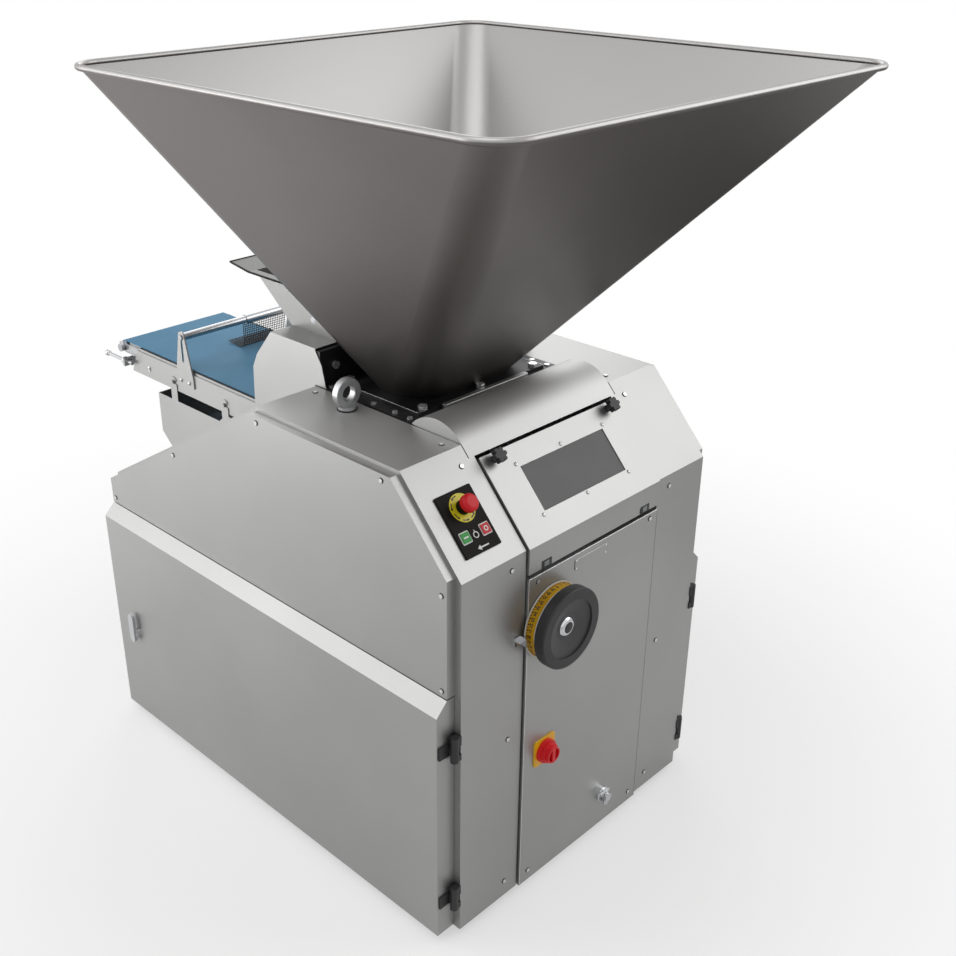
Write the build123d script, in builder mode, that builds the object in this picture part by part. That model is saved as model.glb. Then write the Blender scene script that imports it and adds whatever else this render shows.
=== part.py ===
"""Piston dough divider: sheet-metal cabinet, dough hopper, measuring head and delivery conveyor.

Millimetres, +Z up, the front of the machine towards -Y. The origin is on the floor under the middle of
the machine. Pieces are placed by width x from the machine's middle plane, depth d behind the front
face of the cabinet and height h above the cabinet's lower edge.
"""

import os
from math import atan2, cos, radians, sin, tan

from build123d import *

# Cabinet
foot_height = 20
column_edge = 401
right_edge = 390
slope_foot = 872.4
slope_run = 164.3
cabinet_top = 1052.4
top_back = 607.5
cabinet_depth = 1228
rear_edge = 688
sheet = 2
fold_return = 30
front_opening = 218.5
top_opening = 235
tube = 40

# Side panels and doors
pan_depth = 21.4
pan_front = 17.6
pan_inset = 8
pan_bottom = 613
door_depth = 50.4
door_bottom = 4.6
door_gap = 3
hinge_reach = 13
hinge_radius = 9
hinge_pin = 4
hinge_length = 60
hinge_heights = (99, 495)
leaf = 4
handle_inset = 86
handle_height = 263

# Front panel and inspection cover
panel_half = 215
panel_proud = 6
panel_top = 806
cover_bottom = 816
cover_pivot_depth = 6
cover_pivot_height = 824
cover_pin = 4
cover_reach = 204
window_middle = 4
window_half = 133
window_low = 53
window_high = 155
pane = 4
pane_lap = 16
knob_width = 182
knob_rise = 190
knob_radius = 16
knob_stud = 4

# Controls on the sloping face
plate_low = 36
plate_high = 168
plate_outer = 363
plate_inner = 267
plate = 4
stop_width = -312.6
stop_rise = 130
stop_radius = 18.5
collar_radius = 15
collar_height = 14
stop_stem = 8
key_rise = 75
key_size = 20
start_width = -341.6
halt_width = -287
key_travel = 2
stop_travel = 5

# Portion adjuster and isolator on the front panel
wheel_width = -141
wheel_height = 682
wheel_radius = 90
wheel_stand = 32
rim_width = 24
rim_depth = 26
dial_radius = 82
screw_radius = 10
screw_length = 150
nut_depth = 60
nut_size = 50
isolator_width = -148
isolator_height = 350
isolator_size = 66
grip_radius = 28
tap_width = 75
tap_height = 92

# Hopper
rim_half = 570.5
rim_bead = 6.5
rim_middle = 338.9
rim_height = 1730
rim_corner = 65
hopper_wall = 3
outlet_half = 163
outlet_front = 351
outlet_back = 542
outlet_corner = 88
flange_half = 198
flange_front = 322
flange_back = 575
flange_top = 1061
bolt_radius = 10.5
bolt_inset = 12

# Measuring head
casting_half = 231
casting_front = 307
casting_top = 1054
casting_slab = 16
chamber_half = 150
chamber_wall = 35
chamber_low = 962
chamber_floor = 22
chamber_front = 170
chamber_back = 613
throat_front = 365
throat_back = 530
knife = 8
ram_length = 196
ram_stroke = 170
drum_depth = 690
drum_height = (chamber_low + casting_top - casting_slab) / 2
drum_radius = 75
journal_radius = 25
pocket_radius = 45
pocket_width = 75
piston_length = 50
cheek_inner = 160
cheek_back = 790
wall_front = 594
wall_thick = 12
wall_top = 1134

# Covers of the head and flour hopper
head_top = 1139
flour_half = 168
flour_front = 613
flour_back = 769
flour_top = 1242
flour_rim_back = 962
flour_roller_radius = 24

# Conveyor
roller_radius = 16
belt = 2
belt_drop = 13
roller_height = drum_height - drum_radius - belt_drop - belt - roller_radius
rail_half = 177.5
rail_rise = 9
rail_width = 65
rail_top = roller_height + rail_rise
rail_bottom = rail_top - rail_width
rail = 4
rail_front = 612
rail_back = 1448
drive_depth = 640
end_depth = 1522
axle_radius = 6
belt_half = 166
bed = 3
tension_drop = 28
tension_height = roller_height - tension_drop
tension_end = 1589
bracket_depth = 1215
bracket_rise = 112
bracket_top = rail_top + bracket_rise
rod_drop = 15
rod_height = bracket_top - rod_drop
rod_radius = 10
rod_stud = 4
mat_inner = 20
mat_outer = 164
mat = 2
tray_hooks = (1049, 1276)
tray_pin = 5
tray_back = 1355

# Drive
lever_height = 110
lever_pin = 15
ram_pin = 12
ram_drop = 40
ram_pin_height = chamber_low - ram_drop
link_rise = 310
link_length = 330
link_pin = 10

# Clearances: flat sliding faces, round sliding faces, shafts in bores, panel seams, opened pivot, welds
slide_gap = 0.3
round_gap = 0.3
shaft_gap = 0.05
seam = 0.5
pivot_gap = 1
weld_gap = 0.2

# Worked out from the sizes above
front_y = -((rim_middle - rim_half - rim_bead) + tension_end) / 2
slope_angle = atan2(cabinet_top - slope_foot, slope_run)
back_angle = atan2(cabinet_top - rear_edge, cabinet_depth - top_back)
fold_front = tan((radians(90) - slope_angle) / 2)
fold_top = tan(slope_angle / 2)
fold_back = tan(back_angle / 2)


# Planes: side has depth and height, front has width and height, level has width and depth,
# slope has width and distance up the sloping face
def side(x):
    return Plane(origin=(x, front_y, foot_height), x_dir=(0, 1, 0), z_dir=(1, 0, 0))


def front(d):
    return Plane(origin=(0, front_y + d, foot_height), x_dir=(1, 0, 0), z_dir=(0, -1, 0))


def level(h):
    return Plane(origin=(0, front_y, foot_height + h))


def slope(off=0):
    y = front_y - off * sin(slope_angle)
    z = foot_height + slope_foot + off * cos(slope_angle)
    normal = (0, -sin(slope_angle), cos(slope_angle))
    return Plane(origin=(0, y, z), x_dir=(1, 0, 0), z_dir=normal)


def slope_line(d, t=0):
    """Height of the sloping face at depth d, moved inward by t."""
    return slope_foot + d * tan(slope_angle) - t / cos(slope_angle)


def back_line(d, t=0):
    """Height of the back slope at depth d, moved inward by t."""
    return cabinet_top - (d - top_back) * tan(back_angle) - t / cos(back_angle)


def on_slope(s, off=0):
    """Depth and height of a point at s up the sloping face and off above it."""
    d = s * cos(slope_angle) - off * sin(slope_angle)
    return d, slope_foot + s * sin(slope_angle) + off * cos(slope_angle)


# Shapes added to the part that is being built
def block(x0, x1, d0, d1, h0, h1, mode=Mode.ADD):
    """Box between two widths, two depths and two heights."""
    middle = ((x0 + x1) / 2, front_y + (d0 + d1) / 2, foot_height + (h0 + h1) / 2)
    with Locations(middle):
        Box(abs(x1 - x0), abs(d1 - d0), abs(h1 - h0), mode=mode)


def beam(x0, x1, d0, d1, h0, h1):
    """Square tube between two widths, depths and heights, with a weld gap at both ends."""
    low = [min(x0, x1), min(d0, d1), min(h0, h1)]
    high = [max(x0, x1), max(d0, d1), max(h0, h1)]
    spans = [top - bottom for bottom, top in zip(low, high)]
    along = spans.index(max(spans))
    low[along] += weld_gap
    high[along] -= weld_gap
    block(low[0], high[0], low[1], high[1], low[2], high[2])


def prism(points, x0, x1, mode=Mode.ADD):
    """Straight-sided outline in depth and height, carried from x0 to x1."""
    with BuildSketch(side(x0)) as outline:
        with BuildLine():
            Polyline(*points, close=True)
        make_face()
    extrude(outline.sketch, amount=x1 - x0, mode=mode)


def rod(plane, centre, radius, length, mode=Mode.ADD):
    """Cylinder standing on a plane at a point of it."""
    with BuildSketch(plane) as disc:
        with Locations(centre):
            Circle(radius)
    extrude(disc.sketch, amount=length, mode=mode)


def keep(piece, name):
    """Label a finished piece and write its STEP file."""
    piece.part.label = name
    export_step(piece.part, f"parts/{name}.step")


os.makedirs("parts", exist_ok=True)
sides = (("left", -1, column_edge), ("right", 1, right_edge))


# Base frame: square-tube posts and rails, and the bracket of the ram lever
waist = 620
head_posts = (350, 550)
side_posts = (200, 550)
belt_rails = (620, 900)
drive_rails = (520, 622)
panel_rail = fold_return
top_rail = cabinet_top - sheet - tube
lever_depth = chamber_front - 4 + ram_pin + ram_stroke / 2
frame_left = -(column_edge - sheet - tube)
frame_right = right_edge - sheet - tube
with BuildPart() as base_frame:
    for _, hand, edge in sides:
        outer = hand * (edge - sheet)
        inner = outer - hand * tube
        back = cabinet_depth - sheet
        beam(outer, inner, sheet, sheet + tube, 0, slope_foot - fold_return)
        beam(outer, inner, back - tube, back, 0, rear_edge - tube)
        for low in (0, waist):
            beam(outer, inner, sheet + tube, back - tube, low, low + tube)
        for d in side_posts:
            beam(outer, inner, d, d + tube, waist + tube, top_rail)
        beam(outer, inner, side_posts[0], side_posts[1] + tube, top_rail, top_rail + tube)
        for d in belt_rails:
            beam(outer, inner, d, d + tube, waist + tube, rail_bottom)
        for d in head_posts:
            post = hand * casting_half
            beam(post, post - hand * tube, d, d + tube, waist + tube, casting_top - casting_slab)
    for low in (0, panel_top - tube - sheet):
        beam(frame_left, frame_right, panel_rail, panel_rail + tube, low, low + tube)
    for d in (*drive_rails, cabinet_depth - sheet - tube, lever_depth - tube / 2):
        beam(frame_left, frame_right, d, d + tube, 0, tube)
    for d in head_posts:
        beam(frame_left, frame_right, d, d + tube, waist, waist + tube)
    for d in belt_rails:
        beam(frame_left, frame_right, d, d + tube, rail_bottom - tube, rail_bottom)
    lever_half = 8
    ear = 20
    for hand in (-1, 1):
        near = hand * (lever_half + pivot_gap)
        far = near + hand * ear
        block(near, far, lever_depth - tube / 2, lever_depth + tube / 2, tube, lever_height + tube / 2)
    pin_half = lever_half + pivot_gap + ear
    rod(side(-pin_half), (lever_depth, lever_height), lever_pin, 2 * pin_half)
keep(base_frame, "base_frame")

# Levelling feet: a pad and a stem under each end of the bottom side rails
foot_inset = 100
foot_radius = 25
foot_pad = 10
stem_radius = 8
with BuildPart() as levelling_feet:
    for _, hand, edge in sides:
        for d in (foot_inset, cabinet_depth - foot_inset):
            centre = (hand * (edge - sheet - tube / 2), d)
            rod(level(-foot_height), centre, foot_radius, foot_pad)
            rod(level(-foot_height), centre, stem_radius, foot_height)
keep(levelling_feet, "levelling_feet")

# Upper side panels: folded pans with their edges turned in
pan_points = (
    (pan_front, pan_bottom),
    (pan_front, slope_line(pan_front, pan_inset)),
    (slope_run + pan_inset * fold_top, cabinet_top - pan_inset),
    (top_back - pan_inset * fold_back, cabinet_top - pan_inset),
    (cabinet_depth, back_line(cabinet_depth, pan_inset)),
    (cabinet_depth, pan_bottom),
)
for name, hand, edge in sides:
    with BuildPart() as side_panel:
        prism(pan_points, hand * edge, hand * (edge + pan_depth))
        inside = side_panel.faces().sort_by(Axis.X)[-1 if hand < 0 else 0]
        offset(amount=-sheet, openings=inside)
    keep(side_panel, f"{name}_side_panel")

# Lower doors: deep pans whose top edge slopes out from the panel above
door_top = pan_bottom - door_gap
handle_depth = cabinet_depth - handle_inset
spindle_radius = 8
for name, hand, edge in sides:
    with BuildPart() as door:
        with BuildSketch(front(cabinet_depth)):
            with BuildLine():
                Polyline(
                    (hand * (edge + seam), door_bottom),
                    (hand * (edge + door_depth), door_bottom),
                    (hand * (edge + door_depth), door_top - door_depth + pan_depth),
                    (hand * (edge + pan_depth), door_top),
                    (hand * (edge + seam), door_top),
                    close=True,
                )
            make_face()
        extrude(amount=cabinet_depth - pan_front)
        inside = door.faces().sort_by(Axis.X)[-1 if hand < 0 else 0]
        offset(amount=-sheet, openings=inside)
        spindle = (handle_depth, handle_height)
        skin = hand * (edge + door_depth)
        rod(side(skin), spindle, spindle_radius + shaft_gap, -hand * sheet, mode=Mode.SUBTRACT)
    keep(door, f"{name}_door")

# Door handles: a lever on a spindle through the door skin
lever_width = 22
lever_length = 84
lever_thick = 8
boss_radius = 15
boss = 9
for name, hand, edge in sides:
    with BuildPart() as door_handle:
        skin = hand * (edge + door_depth)
        spindle = (handle_depth, handle_height)
        rod(side(skin - hand * 4 * sheet), spindle, spindle_radius, hand * 4 * sheet)
        rod(side(skin), spindle, boss_radius, hand * boss)
        with BuildSketch(side(skin + hand * boss)) as grip:
            with Locations((handle_depth, handle_height + lever_length / 2 - lever_width)):
                SlotOverall(lever_length, lever_width, rotation=90)
        extrude(grip.sketch, amount=hand * lever_thick)
    keep(door_handle, f"{name}_door_handle")

# Door hinges: fixed halves with an upper and a lower knuckle on one pin, and the middle knuckle on each door
hinge_depth = pan_front - hinge_reach - pivot_gap
half = hinge_length / 2
web = 6
knuckle_low = -14
knuckle_high = 6
leaf_low = -18
leaf_high = 13
with BuildPart() as hinge_brackets:
    for _, hand, edge in sides:
        axis = hand * (edge + hinge_reach + pivot_gap)
        for h in hinge_heights:
            near = hand * edge
            far = hand * (edge + leaf)
            block(near, far, pivot_gap, pan_front - 2 * pivot_gap, h - half, h + half)
            fixed = ((h - half, h + knuckle_low - slide_gap), (h + knuckle_high + slide_gap, h + half))
            for low, high in fixed:
                block(near, axis, hinge_depth - web, hinge_depth + web, low, high)
                rod(level(low), (axis, hinge_depth), hinge_radius, high - low)
            rod(level(h - half), (axis, hinge_depth), hinge_pin, hinge_length)
keep(hinge_brackets, "hinge_brackets")
for name, hand, edge in sides:
    with BuildPart() as door_hinges:
        axis = hand * (edge + hinge_reach + pivot_gap)
        for h in hinge_heights:
            low, high = h + knuckle_low, h + knuckle_high
            rod(level(low), (axis, hinge_depth), hinge_radius, high - low)
            block(axis - web, axis + web, hinge_depth, pan_front, low, high)
            near = axis - hand * web
            far = hand * (edge + door_depth - leaf)
            block(near, far, pan_front - leaf, pan_front, h + leaf_low, h + leaf_high)
            rod(level(low), (axis, hinge_depth), hinge_pin + shaft_gap, high - low, mode=Mode.SUBTRACT)
    keep(door_hinges, f"{name}_door_hinges")

# Front covers beside the panel: front and sloping face in one folded sheet
skin_points = (
    (0, 0),
    (0, slope_foot),
    (slope_run, cabinet_top),
    (slope_run, slope_line(slope_run, sheet)),
    (sheet, slope_line(sheet, sheet)),
    (sheet, 0),
)
return_points = (
    (0, 0),
    (0, slope_foot),
    (fold_return, slope_line(fold_return)),
    (fold_return, 0),
)
side_points = (
    (0, 0),
    (0, slope_foot),
    (slope_run, cabinet_top),
    (slope_run, slope_line(slope_run, fold_return)),
    (fold_return, slope_line(fold_return, fold_return)),
    (fold_return, 0),
)
pivot = (cover_pivot_depth, cover_pivot_height)
pin_length = front_opening - panel_half + sheet
hood_start = 213
for name, hand, edge in (("control_column", -1, column_edge), ("right_front_cover", 1, right_edge)):
    with BuildPart() as front_cover:
        prism(skin_points, hand * edge, hand * front_opening)
        prism(side_points, hand * edge, hand * (edge - sheet))
        prism(return_points, hand * front_opening, hand * (front_opening + sheet))
        notch = (hand * front_opening, hand * top_opening, on_slope(hood_start)[0], slope_run)
        block(*notch, slope_foot, cabinet_top, mode=Mode.SUBTRACT)
        rod(side(hand * front_opening), pivot, cover_pin, -hand * pin_length)
        if hand < 0:
            margin = 6
            with BuildSketch(slope(sheet)) as well:
                with Locations((-(plate_outer + plate_inner) / 2, (plate_low + plate_high) / 2)):
                    Rectangle(plate_outer - plate_inner - 2 * margin, plate_high - plate_low - 2 * margin)
            extrude(well.sketch, amount=-3 * sheet, mode=Mode.SUBTRACT)
    keep(front_cover, name)

# Top covers on both sides of the hopper
for name, hand, edge in sides:
    with BuildPart() as top_cover:
        block(hand * edge, hand * top_opening, slope_run, top_back, cabinet_top - sheet, cabinet_top)
        for x in (edge - sheet, top_opening):
            flange = cabinet_top - fold_return
            block(hand * x, hand * (x + sheet), slope_run, top_back, flange, cabinet_top)
    keep(top_cover, f"{name}_top_cover")

# Back cover: back slope and rear wall in one sheet, open where the head and the conveyor pass
notch_back = 980
fold_rear = tan((radians(90) - back_angle) / 2)
with BuildPart() as back_panel:
    back_points = (
        (top_back, cabinet_top),
        (cabinet_depth, rear_edge),
        (cabinet_depth, 0),
        (cabinet_depth - sheet, 0),
        (cabinet_depth - sheet, rear_edge - sheet * fold_rear),
        (top_back, cabinet_top - sheet / cos(back_angle)),
    )
    prism(back_points, -column_edge, right_edge)
    hem_points = (
        (top_back, cabinet_top),
        (cabinet_depth, rear_edge),
        (cabinet_depth, rear_edge - fold_return),
        (top_back, back_line(top_back, fold_return)),
    )
    prism(hem_points, -column_edge, -column_edge + sheet)
    prism(hem_points, right_edge - sheet, right_edge)
    notch = (-top_opening, top_opening, top_back - sheet, notch_back)
    block(*notch, back_line(notch_back) - fold_return, cabinet_top + sheet, mode=Mode.SUBTRACT)
keep(back_panel, "back_panel")

# Front panel: a shallow pan that stands proud of the covers beside it
with BuildPart() as front_panel:
    block(-panel_half, panel_half, -panel_proud, panel_rail, 0, panel_top)
    offset(amount=-sheet, openings=front_panel.faces().sort_by(Axis.Y)[-1])
    holes = (
        ((wheel_width, wheel_height), screw_radius),
        ((isolator_width, isolator_height), spindle_radius),
    )
    for centre, radius in holes:
        rod(front(panel_rail), centre, radius + shaft_gap, panel_rail + panel_proud, mode=Mode.SUBTRACT)
keep(front_panel, "front_panel")

# Inspection cover: a band and a sloping face that tip forward on two pins
inner_face = panel_proud - sheet
cover_skin = (
    (-panel_proud, cover_bottom),
    (-panel_proud, slope_foot + panel_proud * fold_front),
    on_slope(cover_reach, panel_proud),
    on_slope(cover_reach, inner_face),
    (-inner_face, slope_foot + inner_face * fold_front),
    (-inner_face, cover_bottom),
)
cover_side = (
    (-panel_proud, cover_bottom),
    (-panel_proud, slope_foot + panel_proud * fold_front),
    on_slope(cover_reach, panel_proud),
    on_slope(cover_reach, -panel_rail),
    (panel_rail, slope_foot - panel_rail * fold_front),
    (panel_rail, cover_bottom),
)
window_rise = (window_low + window_high) / 2
slot_width = 30
slot_height = 12
with BuildPart() as inspection_cover:
    prism(cover_skin, -panel_half, panel_half)
    for hand in (-1, 1):
        prism(cover_side, hand * panel_half, hand * (panel_half - sheet))
        hole = cover_pin + shaft_gap
        rod(side(hand * panel_half), pivot, hole, -hand * sheet, mode=Mode.SUBTRACT)
        slot = hand * (knob_width - fold_return + pivot_gap * 10)
        low = cover_pivot_height - slot_height / 2
        slot_box = (slot - slot_width / 2, slot + slot_width / 2, -panel_proud, -inner_face)
        block(*slot_box, low, low + slot_height, mode=Mode.SUBTRACT)
        centre = (hand * knob_width, knob_rise)
        rod(slope(panel_proud), centre, knob_stud + shaft_gap, -sheet, mode=Mode.SUBTRACT)
    with BuildSketch(slope(panel_proud)) as opening:
        with Locations((window_middle, window_rise)):
            Rectangle(2 * window_half, window_high - window_low)
    extrude(opening.sketch, amount=-sheet, mode=Mode.SUBTRACT)
keep(inspection_cover, "inspection_cover")

with BuildPart() as window_pane:
    with BuildSketch(slope(inner_face)) as sheet_pane:
        with Locations((window_middle, window_rise)):
            Rectangle(2 * (window_half + pane_lap), window_high - window_low + 2 * pane_lap)
    extrude(sheet_pane.sketch, amount=-pane)
keep(window_pane, "window_pane")

# Star knobs that hold the inspection cover shut
knob_stand = 13
knob_head = 14
for name, hand, _ in sides:
    with BuildPart() as star_knob:
        centre = (hand * knob_width, knob_rise)
        rod(slope(panel_proud - 3 * panel_proud), centre, knob_stud, 3 * panel_proud)
        rod(slope(panel_proud), centre, knob_radius / 2, knob_stand)
        with BuildSketch(slope(panel_proud + knob_stand)) as lobes:
            with Locations(centre):
                Circle(0.72 * knob_radius)
                with PolarLocations(0.7 * knob_radius, 6):
                    Circle(0.3 * knob_radius)
        extrude(lobes.sketch, amount=knob_head)
    keep(star_knob, f"{name}_star_knob")

# Hood over the front of the head, with closed ends that stand clear of the top covers
hood_half = top_opening - 2.5
hood_bend = (cos(slope_angle), sin(slope_angle))
with BuildPart() as front_hood:
    with BuildSketch(side(-hood_half)):
        with BuildLine():
            heel = (casting_front - seam, casting_top)
            knee = on_slope((casting_top - slope_foot) / sin(slope_angle))
            Line(on_slope(hood_start), knee)
            TangentArc(knee, heel, tangent=hood_bend)
            Line(heel, on_slope(hood_start))
        make_face()
    extrude(amount=2 * hood_half)
    underside = front_hood.faces().sort_by(lambda face: face.normal_at().Z)[0]
    offset(amount=-sheet, openings=underside)
keep(front_hood, "front_hood")

# Hopper: a square funnel leaning forward, open at both ends, with a rolled rim
outlet_middle = (outlet_front + outlet_back) / 2
outlet_depth = outlet_back - outlet_front
with BuildPart() as hopper:
    for wall, way in ((0, Mode.ADD), (hopper_wall, Mode.SUBTRACT)):
        with BuildSketch(level(flange_top)) as low:
            with Locations((0, outlet_middle)):
                RectangleRounded(2 * (outlet_half - wall), outlet_depth - 2 * wall, outlet_corner - wall)
        with BuildSketch(level(rim_height)) as high:
            with Locations((0, rim_middle)):
                RectangleRounded(2 * (rim_half - wall), 2 * (rim_half - wall), rim_corner - wall)
        if wall == 0:
            rim = high.sketch.face().outer_wire()
        loft((low.sketch, high.sketch), ruled=True, mode=way)
    with BuildSketch(Plane(origin=rim @ 0, z_dir=rim % 0)) as bead:
        Circle(rim_bead)
    sweep(bead.sketch, path=rim)
keep(hopper, "hopper")

# Flange plate that the hopper stands on, and its bolts
with BuildPart() as hopper_flange:
    block(-flange_half, flange_half, flange_front, flange_back, casting_top, flange_top)
    with BuildSketch(level(casting_top)) as mouth:
        with Locations((0, outlet_middle)):
            inner_depth = outlet_depth - 2 * hopper_wall
            RectangleRounded(2 * (outlet_half - hopper_wall), inner_depth, outlet_corner - hopper_wall)
    extrude(mouth.sketch, amount=flange_top - casting_top, mode=Mode.SUBTRACT)
keep(hopper_flange, "hopper_flange")
bolt_head = 8
bolt_span = flange_half - 2 * bolt_inset
with BuildPart() as flange_bolts:
    for x in (-bolt_span, 0, bolt_span):
        for d in (flange_front + bolt_inset, flange_back - bolt_inset):
            with BuildSketch(level(flange_top)) as head:
                with Locations((x, d)):
                    RegularPolygon(bolt_radius, 6)
            extrude(head.sketch, amount=bolt_head)
keep(flange_bolts, "flange_bolts")

# Dough chamber: one casting with the top slab, the chamber, and two cheeks that carry the drum
chamber_top = casting_top - casting_slab
chamber_outer = chamber_half + chamber_wall
cheek_bottom = drum_height - drum_radius
ram_front = chamber_front - 4
lug = 20
lug_gap = 2
slot_back = ram_front + 2 * ram_pin + ram_stroke + lug_gap
with BuildPart() as dough_chamber:
    wall_back = wall_front + wall_thick
    block(-casting_half, casting_half, casting_front, wall_back, chamber_top, casting_top)
    block(-casting_half, casting_half, wall_front, wall_back, casting_top, wall_top)
    floor = chamber_low - chamber_floor
    block(-chamber_outer, chamber_outer, chamber_front, chamber_back, floor, chamber_top)
    roof = chamber_top + casting_slab - panel_proud
    block(-chamber_outer, chamber_outer, chamber_front, casting_front, chamber_top, roof)
    cheek_points = (
        (wall_front, cheek_bottom),
        (wall_front, wall_top),
        (cheek_back - drum_radius + fold_return, wall_top),
        (cheek_back, drum_height + drum_radius),
        (cheek_back, cheek_bottom),
    )
    for hand in (-1, 1):
        prism(cheek_points, hand * cheek_inner, hand * casting_half)
    bore = (-chamber_half, chamber_half, chamber_front, chamber_back, chamber_low, chamber_top)
    block(*bore, mode=Mode.SUBTRACT)
    throat = (-chamber_half, chamber_half, throat_front, throat_back, chamber_top, casting_top)
    block(*throat, mode=Mode.SUBTRACT)
    ram_slot = (-lug - lug_gap, lug + lug_gap, chamber_front, slot_back, floor, chamber_low)
    block(*ram_slot, mode=Mode.SUBTRACT)
    drum_axis = (drum_depth, drum_height)
    journal_bore = journal_radius + shaft_gap
    rod(side(-casting_half), drum_axis, journal_bore, 2 * casting_half, mode=Mode.SUBTRACT)
keep(dough_chamber, "dough_chamber")

# Main ram in the chamber, with the lug and pin that the lever drives
ram_top = chamber_top - knife - 3 * slide_gap
ram_half = chamber_half - slide_gap
with BuildPart() as main_ram:
    ram_low = chamber_low + slide_gap
    block(-ram_half, ram_half, ram_front, ram_front + ram_length, ram_low, ram_top)
    for hand in (-1, 1):
        near = hand * (lever_half + lug_gap)
        pin_low = ram_pin_height - ram_pin
        block(near, hand * lug, ram_front, ram_front + 2 * ram_pin, pin_low, ram_low)
    rod(side(-lug), (ram_front + ram_pin, ram_pin_height), ram_pin, 2 * lug)
keep(main_ram, "main_ram")

# Knife plate above the ram, which closes the throat
knife_front = chamber_front + panel_proud
with BuildPart() as knife_plate:
    knife_top = chamber_top - slide_gap
    block(-ram_half, ram_half, knife_front, ram_front + ram_length, knife_top - knife, knife_top)
keep(knife_plate, "knife_plate")

# Measuring drum with two pockets, and the pistons inside them
drum_half = cheek_inner - 2 * pivot_gap
pocket_floor = 30
with BuildPart() as measuring_drum:
    rod(side(-drum_half), drum_axis, drum_radius, 2 * drum_half)
    journal_half = casting_half - panel_proud
    rod(side(-journal_half), drum_axis, journal_radius, 2 * journal_half)
    for hand in (-1, 1):
        centre = (hand * pocket_width, drum_height)
        pocket = front(drum_depth + pocket_floor)
        rod(pocket, centre, pocket_radius, pocket_floor + drum_radius, mode=Mode.SUBTRACT)
keep(measuring_drum, "measuring_drum")
piston_stroke = 38
with BuildPart() as measuring_pistons:
    for hand in (-1, 1):
        face = drum_depth - drum_radius + piston_stroke + lug_gap
        centre = (hand * pocket_width, drum_height)
        rod(front(face + piston_length), centre, pocket_radius - round_gap, piston_length)
keep(measuring_pistons, "measuring_pistons")

# Cover of the measuring head: two cheeks, a top and a back that stops above the belt
head_profile = (
    (576, casting_top),
    (588, 1104.5),
    (610, head_top),
    (763, head_top),
    (819.5, 1072.6),
    (838, 1037),
    (842, 938),
    (842, 918),
    (612, 918),
    (612, casting_top),
)
head_half = casting_half + sheet + slide_gap
head_exit = 1005
head_lap = 620
flour_axis = (flour_front + flour_back) / 2
flour_slot = 15
slot_half = flour_half - 18
with BuildPart() as head_cover:
    with BuildSketch(side(-head_half)) as band:
        with BuildLine():
            Polyline(*head_profile, close=True)
        make_face()
        offset(amount=-sheet, kind=Kind.INTERSECTION, mode=Mode.SUBTRACT)
        span = cabinet_depth - head_lap
        with Locations((head_lap + span / 2, head_exit + span / 2)):
            Rectangle(span, span, mode=Mode.INTERSECT)
    extrude(amount=2 * head_half)
    block(-head_half, head_half, wall_front + wall_thick, head_lap, head_top - sheet, head_top)
    for hand in (-1, 1):
        prism(head_profile, hand * head_half, hand * (head_half - sheet))
    gap = (-slot_half, slot_half, flour_axis - flour_slot, flour_axis + flour_slot)
    block(*gap, head_top - sheet, head_top, mode=Mode.SUBTRACT)
keep(head_cover, "head_cover")

# Flour hopper on the head cover, with a flared rim, and its roller
flour_shaft = 8
flour_lift = flour_roller_radius + 2 * sheet
rim_lip = 20
flour_lean = 64
flour_reach = 125
with BuildPart() as flour_hopper:
    flour_points = (
        (flour_front, head_top),
        (flour_back, head_top),
        (flour_back + flour_reach, flour_top),
        (flour_front + flour_lean, flour_top),
    )
    prism(flour_points, -flour_half, flour_half)
    offset(amount=-sheet, openings=flour_hopper.faces().sort_by(Axis.Z)[-1])
    edge_back = flour_back + flour_reach
    edge_front = flour_front + flour_lean
    for hand in (-1, 1):
        lip = (hand * flour_half, hand * (flour_half + rim_lip), edge_front, edge_back)
        block(*lip, flour_top - sheet, flour_top)
    flare = (
        (edge_back - sheet, flour_top - sheet),
        (flour_rim_back, flour_top + 4 * sheet),
        (flour_rim_back, flour_top + 5 * sheet),
        (edge_back - sheet, flour_top),
    )
    prism(flare, -flour_half - rim_lip, flour_half + rim_lip)
    block(*gap, head_top, head_top + sheet, mode=Mode.SUBTRACT)
    flour_centre = (flour_axis, head_top + flour_lift)
    rod(side(-flour_half), flour_centre, flour_shaft + shaft_gap, 2 * flour_half, mode=Mode.SUBTRACT)
keep(flour_hopper, "flour_hopper")
with BuildPart() as flour_roller:
    body_half = flour_half - sheet - pivot_gap
    shaft_half = flour_half
    rod(side(-body_half), flour_centre, flour_roller_radius, 2 * body_half)
    rod(side(-shaft_half), flour_centre, flour_shaft, 2 * shaft_half)
keep(flour_roller, "flour_roller")

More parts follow.
